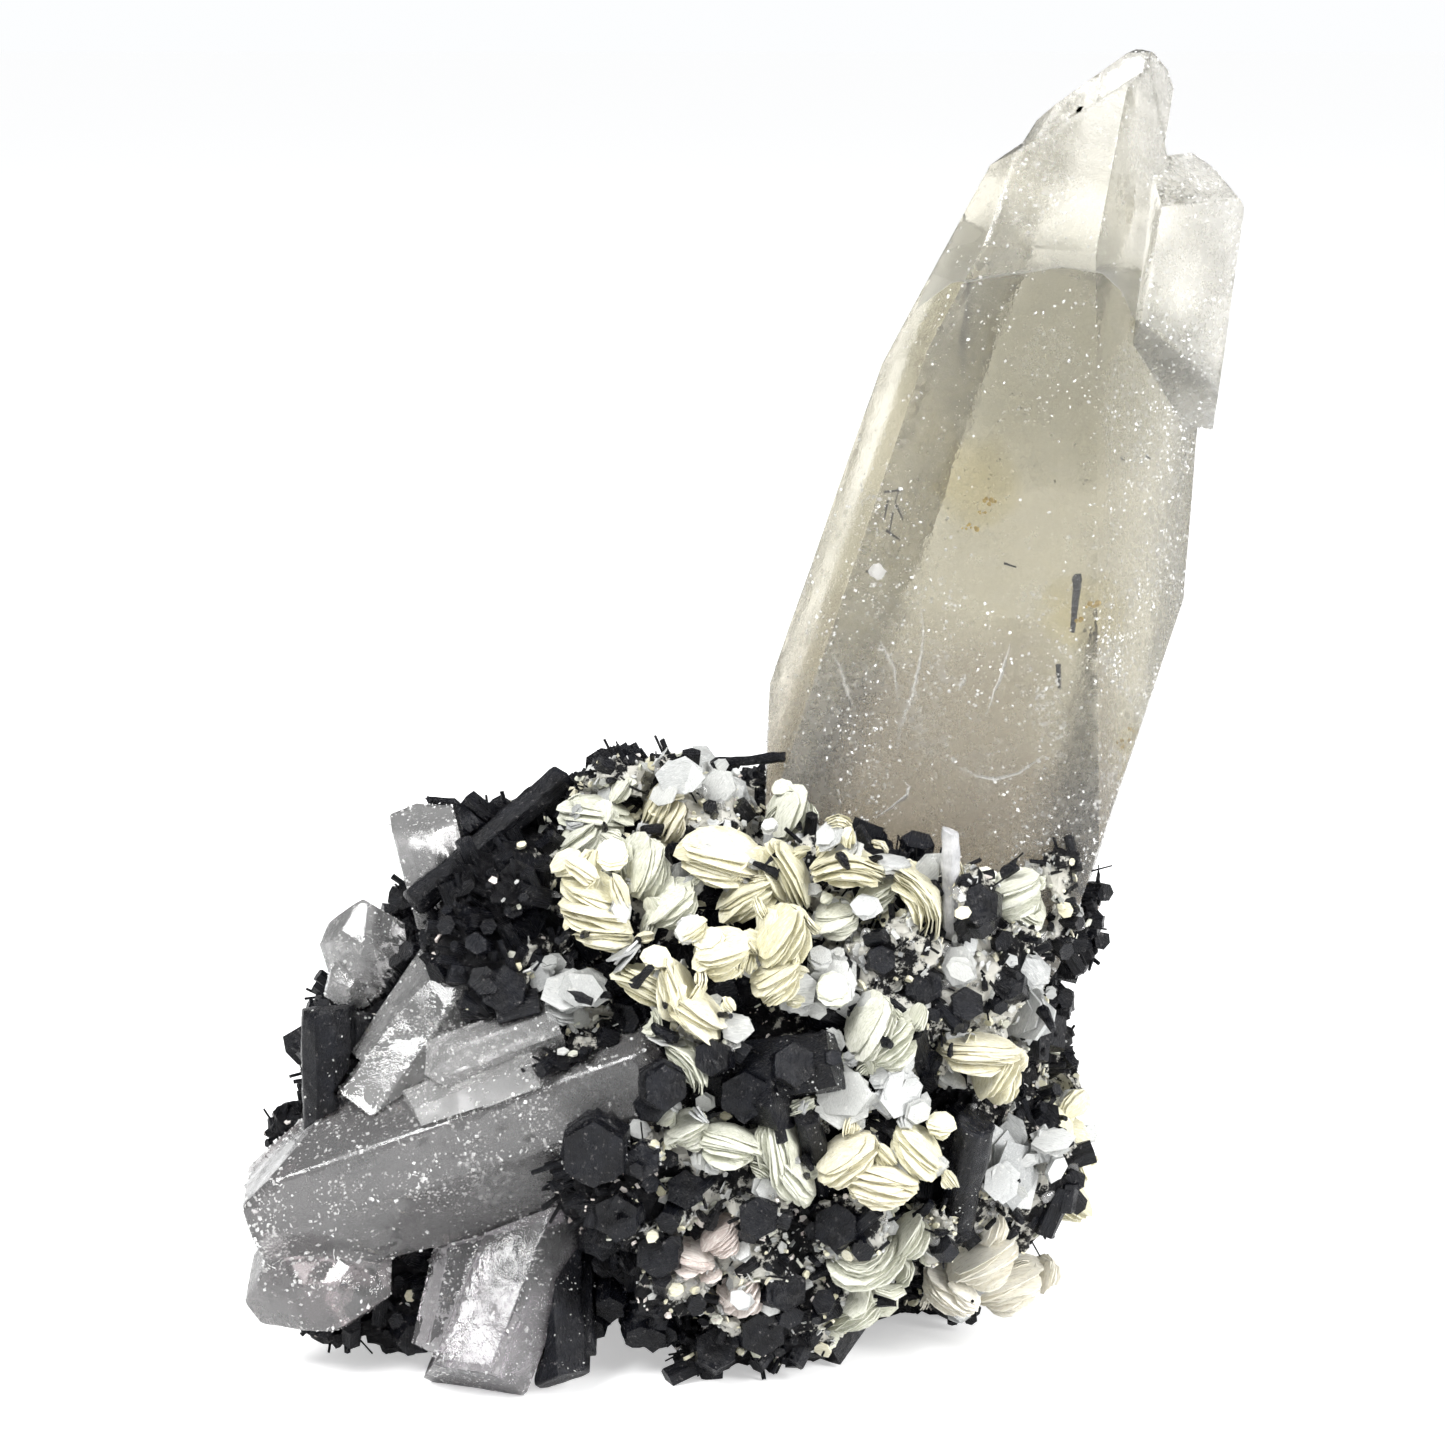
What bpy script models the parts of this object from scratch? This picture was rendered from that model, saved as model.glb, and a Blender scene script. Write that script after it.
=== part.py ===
"""Schorl on smoky quartz.

A hand specimen: a tall smoky quartz crystal leans out of a mass of black
schorl crystals that is crusted with pale yellow muscovite, and a second,
grey quartz crystal lies across the lower left of the mass.

Metres, +Z up. The side with the muscovite faces -Y. The specimen stands on
the lowest points of the schorl mass, and its origin is under the middle of it.
"""

import math
import random

import bmesh
import bpy
from mathutils import Matrix, Vector

MM = 0.001

# Driving sizes in millimetres
GAP = 0.3
MAIN_CRYSTAL_LENGTH = 71.7
MAIN_CRYSTAL_LEAN = 13.6
MAIN_CRYSTAL_LEAN_BACK = 3.0
LYING_CRYSTAL_LENGTH = 33.0
SMALL_PRISM_RADIUS = (0.8, 2.1)
SMALL_PRISM_REACH = (1.0, 3.4)
SMALL_PRISM_COUNT = 26
SURFACE_SEED = 11
STRONG_BEND = 14.5
MASS_FACETS = 16
MASS_DETAIL = 0.84

# Crystals grown parallel step back from each other by a hair
HAIR_LEDGE = 0.04

# Every flat-faced crystal is cut from a block this many times its own reach
ROUGH_MARGIN = 2.0
CUT_SNAP = 2e-5
MERGE = 1e-4
FLAT_ANGLE = 1.5

# Half the size of the block of space under the specimen
GROUND_BLOCK = 100.0

SMOKY = ("smoky_quartz", (0.42, 0.40, 0.33, 1.0), 0.12)
CLEAR = ("clear_quartz", (0.62, 0.63, 0.60, 1.0), 0.15)
SCHORL = ("schorl", (0.012, 0.012, 0.014, 1.0), 0.30)
MICA = ("muscovite", (0.66, 0.62, 0.40, 1.0), 0.45)


# Flat-faced shapes

def cut_crystal(planes, grow=0.0):
    """The convex solid inside every (point, outward normal) plane."""
    points = [Vector(point) for point, normal in planes]
    middle = sum(points, Vector()) / len(points)
    reach = max((point - middle).length for point in points)
    shape = bmesh.new()
    bmesh.ops.create_cube(
        shape,
        size=2.0 * (ROUGH_MARGIN * reach + grow),
        matrix=Matrix.Translation(middle),
    )
    for point, normal in planes:
        outward = Vector(normal).normalized()
        cut = bmesh.ops.bisect_plane(
            shape,
            geom=shape.verts[:] + shape.edges[:] + shape.faces[:],
            plane_co=Vector(point) + outward * grow,
            plane_no=outward,
            clear_outer=True,
            dist=CUT_SNAP,
        )
        rim = [item for item in cut["geom_cut"] if isinstance(item, bmesh.types.BMEdge)]
        if rim:
            bmesh.ops.edgeloop_fill(shape, edges=rim)
    bmesh.ops.remove_doubles(shape, verts=shape.verts[:], dist=1e-4)
    bmesh.ops.triangulate(shape, faces=shape.faces[:])
    bmesh.ops.recalc_face_normals(shape, faces=shape.faces[:])
    return shape


def moved(planes, matrix):
    """The same planes, carried by a matrix."""
    turn = matrix.to_3x3()
    return [(matrix @ Vector(point), turn @ Vector(normal)) for point, normal in planes]


def inset(planes, depth):
    """The same planes, each pulled inward by a depth."""
    return [(Vector(point) - Vector(normal).normalized() * depth, normal) for point, normal in planes]


def ring_planes(radii, start=0.0, taper=0.0):
    """Side faces around local Z, evenly spaced, at the given distances."""
    planes = []
    for step, radius in enumerate(radii):
        angle = math.radians(start + 360.0 * step / len(radii))
        out = Vector((math.cos(angle), math.sin(angle), 0.0))
        planes.append((out * radius, out + Vector((0.0, 0.0, taper))))
    return planes


def along(foot, tip, roll=0.0):
    """A frame at foot, with local Z toward tip."""
    axis = Vector(tip) - Vector(foot)
    turn = axis.to_track_quat("Z", "Y").to_matrix().to_4x4()
    return Matrix.Translation(foot) @ turn @ Matrix.Rotation(math.radians(roll), 4, "Z")


def prism(foot, tip, radius, sides=6, flat=1.0, roll=0.0, lean=0.0, taper=0.0, point=0.0):
    """A crystal with flat sides, and a flat, slanted or pointed end."""
    length = (Vector(tip) - Vector(foot)).length
    radii = []
    for step in range(sides):
        angle = 2.0 * math.pi * step / sides
        radii.append(radius * math.hypot(math.cos(angle), flat * math.sin(angle)))
    planes = ring_planes(radii, taper=taper)
    planes.append(((0.0, 0.0, 0.0), (0.0, 0.0, -1.0)))
    if point:
        for step in range(3):
            angle = math.radians(30.0 + 120.0 * step)
            side = Vector((math.cos(angle), math.sin(angle), 0.0)) * point
            planes.append(((0.0, 0.0, length), side + Vector((0.0, 0.0, 1.0))))
    else:
        planes.append(((0.0, 0.0, length), (math.tan(math.radians(lean)), 0.0, 1.0)))
    return moved(planes, along(foot, tip, roll))


def lump(centre, radii, seed, facets=20):
    """A rough convex lump with flat facets that touch an egg shape."""
    chance = random.Random(seed)
    planes = []
    golden = math.pi * (3.0 - math.sqrt(5.0))
    for step in range(facets):
        height = 1.0 - 2.0 * (step + 0.5) / facets
        across = math.sqrt(1.0 - height * height)
        angle = golden * step + chance.uniform(-0.35, 0.35)
        out = Vector((across * math.cos(angle), across * math.sin(angle), height))
        out += Vector([chance.uniform(-0.18, 0.18) for _ in range(3)])
        out.normalize()
        reach = math.sqrt(sum((out[i] * radii[i]) ** 2 for i in range(3)))
        planes.append((Vector(centre) + out * reach * chance.uniform(0.86, 1.0), out))
    return planes


def book(at, width, depth, thick, turn=0.0, tip=45.0, bend=12.0):
    """A curved mica book: two or three rounded plates side by side along an arc.

    With tip at 0 the plates are seen on edge, and with tip at 90 on the flat.
    turn swings the book clockwise in the front view.
    """
    sides = (-1.0, 0.0, 1.0) if abs(bend) > STRONG_BEND else (-0.75, 0.75)
    frame = Matrix.Translation(at)
    frame = frame @ Matrix.Rotation(math.radians(turn), 4, "Y")
    frame = frame @ Matrix.Rotation(math.radians(tip), 4, "X")
    curve_radius = (width / 3.0) / math.radians(max(abs(bend), 1.0))
    plates = []
    for side in sides:
        swing = Matrix.Rotation(math.radians(bend) * side, 4, "Y")
        arc = math.radians(max(abs(bend), 1.0)) * side
        sag = math.copysign(curve_radius * (math.cos(arc) - 1.0), bend)
        place = Matrix.Translation((curve_radius * math.sin(arc), 0.0, sag)) @ swing
        half_width = width * (0.78 / len(sides))
        half_depth = depth * (0.41 if abs(side) == 1.0 else 0.5)
        half_thick = thick * (0.44 if abs(side) == 1.0 else 0.5)
        planes = [
            ((0.0, half_depth, 0.0), (0.0, 1.0, 0.0)),
            ((0.0, -half_depth, 0.0), (0.0, -1.0, 0.0)),
            ((0.0, 0.0, half_thick), (0.0, 0.0, 1.0)),
            ((0.0, 0.0, -half_thick), (0.0, 0.0, -1.0)),
            ((half_width, 0.0, 0.0), (1.0, 0.0, 0.0)),
            ((-half_width, 0.0, 0.0), (-1.0, 0.0, 0.0)),
        ]
        if side:
            outer = math.copysign(1.0, side)
            rim = Vector((outer * half_width * 0.4, 0.0, 0.0))
            for front in (-1.0, 1.0):
                corner = rim + Vector((0.0, front * half_depth, 0.0))
                planes.append((corner, (outer, front * 0.8, 0.0)))
        plates.append(moved(planes, frame @ place))
    return plates


# Where the two large quartz crystals stand

MAIN_FOOT = Vector((15.1, 6.0, 31.7))
LYING_FOOT = Vector((-6.8, -8.0, 22.7))
LYING_TIP = Vector((-36.8, -8.0, 11.4))


def main_frame():
    """Local Z up the tall crystal, local X to its right, local Y to its back."""
    lean = Matrix.Rotation(math.radians(MAIN_CRYSTAL_LEAN), 4, "Y")
    back = Matrix.Rotation(math.radians(-MAIN_CRYSTAL_LEAN_BACK), 4, "X")
    return Matrix.Translation(MAIN_FOOT) @ back @ lean


def lying_frame():
    """Local Z down the lying crystal to the left, local X up, local Y to the back."""
    axis = (LYING_TIP - LYING_FOOT).normalized()
    up = Vector((-axis.z, 0.0, axis.x)) * -1.0
    back = axis.cross(up)
    columns = Matrix((up, back, axis)).transposed().to_4x4()
    return Matrix.Translation(LYING_FOOT) @ columns


def smoky_quartz_main():
    """The tall crystal: its body, its stepped tip and the crystal on its right."""
    body = [
        ((0.0, -10.0, 30.0), (-0.03, -1.0, 0.02)),
        ((-11.3, -10.0, 48.0), (-0.865, -0.50, 0.085)),
        ((-14.6, -4.6, 46.0), (-0.866, 0.50, 0.085)),
        ((0.0, 11.0, 30.0), (0.0, 1.0, 0.03)),
        ((5.1, -10.0, 31.0), (0.77, -0.60, 0.215)),
        ((12.8, 1.0, 31.0), (0.86, 0.50, 0.05)),
        ((12.9, 0.0, 27.0), (0.98, -0.15, -0.07)),
        ((-17.2, 0.0, 15.6), (-0.98, 0.0, -0.20)),
        ((-10.4, 0.0, -1.8), (-0.78, -0.1, -0.55)),
        ((0.0, 0.0, -12.0), (0.1, 0.2, -1.0)),
        ((11.2, 0.0, 2.9), (0.93, -0.1, -0.35)),
        ((-14.4, -4.6, 45.0), (-0.87, -0.44, 0.23)),
        ((-14.4, -4.6, 45.0), (-0.87, 0.44, 0.23)),
        ((-10.8, 0.0, 60.0), (-0.70, -0.05, 0.71)),
        ((11.7, 0.0, 48.2), (0.88, 0.0, 0.47)),
        ((0.0, -10.0, 54.0), (-0.08, -0.95, 0.30)),
        ((0.0, 11.0, 52.0), (0.05, 0.85, 0.50)),
    ]
    tip = [
        ((-4.2, -5.2, 66.8), (-0.16, -0.95, 0.27)),
        ((-3.2, -6.6, 62.0), (0.30, -0.91, 0.28)),
        ((-8.1, 0.0, 63.2), (-0.93, -0.1, 0.34)),
        ((-7.8, 0.0, 64.0), (-0.76, 0.05, 0.65)),
        ((-0.8, 0.0, MAIN_CRYSTAL_LENGTH - 0.1), (-0.22, -0.1, 0.97)),
        ((0.6, 0.0, MAIN_CRYSTAL_LENGTH - 0.5), (0.50, 0.0, 0.87)),
        ((1.9, 0.0, 70.2), (0.82, -0.05, 0.57)),
        ((2.5, 0.0, 68.5), (1.0, -0.1, 0.08)),
        ((0.0, 6.5, 64.0), (0.0, 0.86, 0.50)),
        ((0.0, 0.0, 46.0), (0.0, 0.0, -1.0)),
        ((3.2, 0.0, 60.0), (1.0, 0.0, -0.1)),
    ]
    side_crystal = [
        ((2.9, -6.2, 58.0), (0.58, -0.81, 0.10)),
        ((2.9, -5.4, 60.3), (0.10, -0.52, 0.85)),
        ((2.2, 0.0, 56.0), (-0.98, -0.2, -0.05)),
        ((4.2, 0.0, 64.6), (-0.35, 0.0, 0.94)),
        ((5.4, 0.0, 64.7), (0.35, -0.1, 0.93)),
        ((8.4, 0.0, 63.2), (0.66, 0.0, 0.75)),
        ((10.2, 0.0, 61.2), (0.93, 0.1, 0.36)),
        ((10.9, 0.0, 54.8), (0.98, -0.12, 0.11)),
        ((9.0, 6.5, 55.0), (0.35, 0.90, 0.2)),
        ((3.2, -6.8, 51.2), (0.26, -0.70, -0.50)),
        ((0.0, 0.0, 43.0), (0.1, 0.0, -1.0)),
    ]
    frame = main_frame()
    tip_sides = inset(body[:7] + body[11:13], HAIR_LEDGE)
    side_limits = inset(body[:4], 2.0 * HAIR_LEDGE)
    return [
        moved(body, frame),
        moved(tip + tip_sides, frame),
        moved(side_crystal + side_limits, frame),
    ]


def smoky_quartz_lying():
    """The thick grey crystal across the lower left, broken at both ends."""
    body = [
        ((7.2, -2.0, 12.0), (0.93, -0.36, 0.0)),
        ((5.0, -8.0, 12.0), (0.10, -1.0, 0.02)),
        ((0.2, -8.0, 12.0), (-0.64, -0.77, 0.04)),
        ((-6.5, 0.0, 14.0), (-0.95, -0.1, 0.12)),
        ((0.0, 8.0, 14.0), (-0.1, 1.0, 0.0)),
        ((6.0, 6.0, 12.0), (0.80, 0.60, 0.0)),
        ((0.0, 0.0, LYING_CRYSTAL_LENGTH), (0.05, -0.12, 1.0)),
        ((5.6, 0.0, 28.0), (0.90, 0.0, 0.40)),
        ((-6.6, -4.0, 27.0), (-0.75, -0.25, 0.55)),
        ((3.0, -8.0, -1.4), (0.20, -0.35, -0.95)),
    ]
    knob = lump((-33.0, -10.0, 8.0), (5.0, 4.5, 4.2), seed=5, facets=16)
    return [moved(body, lying_frame()), knob]


def clear_crystals():
    """Small clear quartz crystals grown on the lying crystal."""
    return {
        "clear_quartz_front": [
            prism((-14.0, -12.5, 28.6), (-24.2, -13.6, 25.0), 2.5, flat=0.75, roll=20.0, point=0.9),
            prism((-15.4, -14.2, 25.6), (-25.0, -13.6, 21.6), 2.3, flat=0.8, roll=5.0, lean=20.0),
        ],
        "clear_quartz_back": [
            prism((-29.0, -9.6, 21.0), (-21.6, -6.4, 30.9), 2.9, flat=0.85, roll=12.0, lean=25.0),
            prism((-28.4, -8.2, 24.0), (-23.4, -6.6, 31.3), 2.1, flat=0.85, roll=40.0, lean=-20.0),
        ],
        "quartz_block": [
            prism((-15.6, -8.0, 12.5), (-20.6, -14.2, 0.6), 4.0, flat=0.9, roll=15.0, lean=10.0),
            prism((-20.5, -8.0, 12.0), (-22.8, -12.6, 2.2), 2.6, roll=5.0, lean=-12.0),
        ],
        "quartz_upper_left": [
            prism((-22.6, -1.0, 32.0), (-25.0, -2.2, 42.6), 2.7, flat=0.9, roll=10.0, lean=10.0),
        ],
        "quartz_lump_left": [
            lump((-29.6, -2.0, 32.0), (2.7, 3.6, 3.7), seed=23, facets=18),
            lump((-30.6, -2.6, 29.6), (2.0, 2.6, 2.0), seed=29, facets=14),
        ],
    }


def schorl_crystals():
    """The larger black crystals that stand free of the mass."""
    return {
        "schorl_diagonal": [prism((-25.4, -6.0, 36.6), (-14.2, 0.0, 45.4), 1.0, roll=8.0, lean=12.0)],
        "schorl_cap": [
            prism((-18.0, 1.0, 36.4), (-23.6, -0.6, 42.6), 1.7, flat=0.8, roll=14.0, lean=40.0),
            prism((-18.0, -0.6, 38.6), (-22.4, -1.6, 42.2), 1.2, roll=30.0, lean=20.0),
        ],
        "schorl_left": [
            prism((-32.0, -9.6, 14.0), (-32.0, -7.8, 28.8), 1.9, sides=9, roll=10.0, lean=6.0),
            prism((-29.8, -7.6, 18.5), (-29.7, -6.8, 28.0), 1.3, roll=4.0, lean=-14.0),
        ],
        "schorl_front": [
            prism((-10.8, -13.0, 20.0), (-11.1, -21.6, 21.3), 2.5, sides=9, roll=6.0, lean=6.0),
        ],
        "schorl_upper_front": [
            prism((-6.0, -13.0, 24.9), (-5.9, -20.8, 26.2), 1.7, roll=3.0, lean=10.0),
            prism((-7.0, -13.0, 22.8), (-6.9, -19.6, 24.2), 1.1, roll=20.0, lean=-10.0),
        ],
        "schorl_big": [
            prism((-3.4, -14.0, 24.6), (6.9, -18.2, 27.4), 2.5, flat=0.85, roll=12.0, lean=12.0),
            prism((-3.0, -12.0, 23.6), (3.0, -18.6, 24.2), 1.9, roll=25.0, lean=20.0),
        ],
        "schorl_needle_top": [prism((-3.4, 0.6, 46.2), (3.2, -3.6, 47.7), 0.42, roll=10.0)],
        "schorl_silver": [prism((15.8, -11.0, 34.6), (15.4, -15.0, 44.2), 0.6, flat=0.7, roll=15.0, lean=30.0)],
        "schorl_right": [
            prism((16.4, -10.5, 12.6), (17.5, -15.6, 21.8), 1.35, sides=9, roll=7.0, lean=8.0),
        ],
        "schorl_middle": [prism((6.9, -13.5, 14.0), (4.7, -18.8, 23.2), 0.8, roll=12.0, lean=16.0)],
        "schorl_bottom": [
            prism((-14.4, -10.0, 11.0), (-13.8, -14.6, 1.2), 2.0, flat=0.9, roll=15.0, lean=12.0),
            prism((-12.8, -9.0, 10.0), (-12.5, -13.4, 3.0), 1.2, roll=5.0, lean=-14.0),
        ],
    }


def mica_books():
    """Muscovite books, by the cluster that they stand in."""
    return {
        "muscovite_top": [book((-3.6, 0.4, 45.0), 5.4, 4.6, 1.7, turn=8.0, tip=66.0, bend=9.0)],
        "muscovite_top_left": [
            book((-7.0, -4.2, 44.0), 3.8, 4.0, 1.2, turn=-62.0, tip=24.0),
            book((-5.8, -5.6, 43.0), 3.0, 3.6, 1.1, turn=-66.0, tip=34.0),
        ],
        "muscovite_left_crown": [
            book((-11.4, -4.6, 43.4), 4.8, 4.4, 2.6, turn=12.0, tip=38.0),
            book((-12.6, -6.4, 42.0), 3.2, 3.6, 1.8, turn=-35.0, tip=40.0),
        ],
        "muscovite_right_crown": [book((3.2, -5.4, 43.6), 4.0, 4.0, 1.7, turn=-68.0, tip=56.0)],
        "muscovite_great": [
            book((-1.6, -11.6, 42.0), 6.2, 5.0, 2.5, turn=14.0, tip=46.0, bend=17.0),
            book((0.0, -12.8, 39.0), 5.0, 4.0, 1.8, turn=-32.0, tip=34.0, bend=15.0),
        ],
        "muscovite_oval": [book((3.6, -12.0, 40.4), 4.9, 4.4, 2.5, turn=62.0, tip=34.0, bend=15.0)],
        "muscovite_pale": [
            book((-8.0, -10.8, 40.6), 4.2, 5.0, 2.2, turn=-70.0, tip=58.0),
            book((-5.6, -12.6, 38.2), 3.8, 4.0, 2.0, turn=-40.0, tip=52.0),
        ],
        "muscovite_fan": [
            book((-11.2, -13.0, 39.4), 4.8, 4.4, 1.5, turn=24.0, tip=44.0),
            book((-11.0, -14.0, 38.0), 5.4, 4.4, 1.5, turn=16.0, tip=32.0),
            book((-10.4, -14.4, 36.6), 4.4, 4.0, 1.4, turn=6.0, tip=20.0),
        ],
        "muscovite_centre": [
            book((-1.8, -17.4, 35.6), 3.8, 4.4, 2.4, turn=-20.0, tip=44.0),
            book((2.4, -16.8, 36.6), 4.4, 4.6, 2.2, turn=-58.0, tip=50.0),
            book((2.2, -17.4, 33.8), 3.8, 4.0, 1.9, turn=-35.0, tip=42.0),
        ],
        "muscovite_lower_left": [book((-7.0, -16.6, 33.2), 5.0, 4.2, 1.7, turn=26.0, tip=20.0, bend=15.0)],
        "muscovite_sheaf": [
            book((-4.6, -18.2, 32.6), 4.6, 4.0, 1.5, turn=72.0, tip=40.0),
            book((-3.2, -18.8, 31.4), 4.6, 4.2, 1.6, turn=34.0, tip=36.0),
        ],
        "muscovite_plates": [
            book((3.8, -16.0, 32.3), 3.0, 3.4, 1.1, turn=-10.0, tip=74.0),
            book((6.6, -15.2, 32.7), 3.6, 4.2, 1.2, turn=20.0, tip=70.0),
        ],
        "muscovite_arc_left": [book((8.0, -13.4, 41.6), 5.8, 4.4, 1.9, turn=4.0, tip=22.0, bend=24.0)],
        "muscovite_under_arc": [
            book((7.0, -12.8, 37.2), 3.0, 3.8, 1.6, turn=-15.0, tip=48.0),
            book((9.8, -12.4, 38.9), 3.0, 3.6, 1.4, turn=-28.0, tip=34.0),
        ],
        "muscovite_arc_right": [book((14.0, -13.0, 38.9), 6.2, 4.4, 1.9, turn=62.0, tip=22.0, bend=26.0)],
        "muscovite_green": [
            book((20.4, -8.6, 38.4), 4.4, 4.2, 2.0, turn=-22.0, tip=44.0),
            book((21.8, -6.4, 36.4), 3.4, 4.0, 1.6, turn=38.0, tip=52.0),
        ],
        "muscovite_flake": [book((16.4, -13.2, 33.6), 2.6, 3.6, 1.0, turn=-14.0, tip=68.0)],
        "muscovite_big": [
            book((9.2, -16.6, 29.6), 4.8, 5.2, 1.9, turn=-62.0, tip=50.0),
            book((10.6, -16.8, 28.6), 4.2, 4.6, 1.7, turn=-38.0, tip=40.0),
        ],
        "muscovite_flat": [
            book((17.8, -13.6, 27.2), 5.8, 4.4, 1.6, turn=3.0, tip=22.0, bend=9.0),
            book((18.8, -12.8, 25.0), 3.6, 4.4, 1.7, turn=-60.0, tip=52.0),
        ],
        "muscovite_side": [book((21.6, -8.4, 28.4), 3.8, 4.2, 1.6, turn=-66.0, tip=48.0)],
        "muscovite_ring": [book((-3.7, -18.4, 27.6), 4.8, 4.0, 1.3, turn=52.0, tip=20.0, bend=24.0)],
        "muscovite_low_arc": [
            book((-1.0, -19.4, 21.6), 4.4, 3.8, 1.9, turn=14.0, tip=28.0, bend=15.0),
            book((-4.4, -18.6, 22.4), 3.0, 3.4, 1.7, turn=-32.0, tip=46.0),
        ],
        "muscovite_tall": [
            book((3.2, -18.2, 20.6), 5.4, 4.2, 1.8, turn=76.0, tip=44.0),
            book((4.0, -18.0, 18.6), 4.0, 4.0, 1.6, turn=52.0, tip=38.0),
        ],
        "muscovite_sail": [
            book((7.6, -17.4, 24.6), 4.4, 4.4, 1.3, turn=-8.0, tip=70.0),
            book((11.6, -17.0, 24.6), 3.6, 4.4, 1.3, turn=64.0, tip=58.0),
        ],
        "muscovite_yellow": [
            book((7.6, -18.0, 20.0), 4.6, 4.4, 2.2, turn=-36.0, tip=44.0),
            book((10.4, -18.6, 18.6), 5.0, 4.4, 2.2, turn=12.0, tip=36.0),
            book((13.2, -17.4, 20.2), 4.2, 4.4, 2.1, turn=44.0, tip=48.0),
        ],
        "muscovite_bottom_arc": [
            book((9.4, -14.4, 10.4), 6.4, 4.2, 1.7, turn=-14.0, tip=18.0, bend=-18.0),
            book((12.4, -14.4, 12.6), 3.4, 3.8, 1.5, turn=-58.0, tip=38.0),
        ],
        "muscovite_right": [
            book((24.6, -1.4, 18.4), 4.8, 5.0, 2.4, turn=58.0, tip=44.0),
            book((26.6, 0.4, 14.8), 4.6, 5.0, 2.4, turn=72.0, tip=38.0),
            book((25.6, -1.8, 12.2), 4.2, 4.4, 2.0, turn=36.0, tip=44.0),
        ],
        "muscovite_grey": [book((20.4, -9.8, 16.4), 6.4, 4.4, 2.2, turn=84.0, tip=58.0)],
        "muscovite_low_right": [
            book((18.6, -7.4, 8.8), 5.0, 4.6, 2.3, turn=-30.0, tip=46.0),
            book((20.6, -4.4, 6.0), 5.4, 4.8, 2.4, turn=-18.0, tip=38.0),
            book((16.4, -6.4, 6.0), 4.4, 4.4, 2.0, turn=30.0, tip=44.0),
        ],
        "muscovite_foot": [book((8.4, -9.2, 5.6), 4.6, 4.4, 1.9, turn=-32.0, tip=36.0)],
        "muscovite_pink": [
            book((-1.8, -16.6, 13.4), 2.8, 3.6, 1.6, turn=-38.0, tip=50.0),
            book((-3.8, -16.0, 11.6), 2.8, 3.4, 1.6, turn=20.0, tip=56.0),
        ],
        "muscovite_rose": [book((-0.4, -14.4, 8.4), 3.2, 3.8, 1.7, turn=-44.0, tip=50.0)],
        "muscovite_glint": [book((-13.0, -13.6, 31.6), 4.4, 4.0, 1.4, turn=-10.0, tip=48.0)],
        "muscovite_back_high": [
            book((-4.0, 15.0, 34.0), 5.0, 4.6, 2.2, turn=20.0, tip=140.0),
            book((-8.6, 15.4, 31.4), 4.6, 4.4, 2.0, turn=-40.0, tip=130.0),
        ],
        "muscovite_back_middle": [
            book((2.0, 18.2, 22.0), 5.4, 4.6, 2.4, turn=-15.0, tip=145.0),
            book((6.4, 18.0, 19.0), 4.8, 4.4, 2.0, turn=50.0, tip=135.0),
        ],
        "muscovite_back_left": [book((-20.0, 14.6, 20.0), 5.0, 4.6, 2.2, turn=35.0, tip=140.0)],
        "muscovite_back_right": [
            book((20.0, 16.6, 16.0), 5.2, 4.6, 2.4, turn=-35.0, tip=138.0),
            book((22.6, 13.6, 20.0), 4.4, 4.4, 2.0, turn=15.0, tip=125.0),
        ],
    }


# The schorl mass is lumps, each a centre and three half widths
MASS_LUMPS = [
    ((-4.5, -0.5, 20.5), (19.5, 17.5, 15.5)),
    ((-6.5, 1.0, 36.0), (10.5, 11.5, 10.6)),
    ((-17.0, 0.5, 32.5), (9.8, 12.5, 9.0)),
    ((12.0, 1.0, 30.0), (13.4, 15.0, 9.6)),
    ((16.5, 3.0, 17.0), (8.6, 14.0, 11.2)),
    ((15.5, 9.5, 8.6), (7.6, 13.0, 9.2)),
    ((1.0, -1.5, 9.6), (11.4, 14.5, 10.4)),
    ((-26.0, 1.5, 12.6), (11.8, 9.5, 10.4)),
    ((-27.0, 3.0, 24.0), (6.4, 10.0, 8.2)),
    ((8.0, 12.5, 14.5), (15.0, 10.6, 15.5)),
    ((-20.0, 11.0, 10.0), (13.0, 9.0, 11.0)),
    ((23.6, -1.0, 36.0), (3.2, 6.0, 6.0)),
    ((6.0, 5.0, 40.0), (8.0, 9.0, 6.0)),
]

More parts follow.
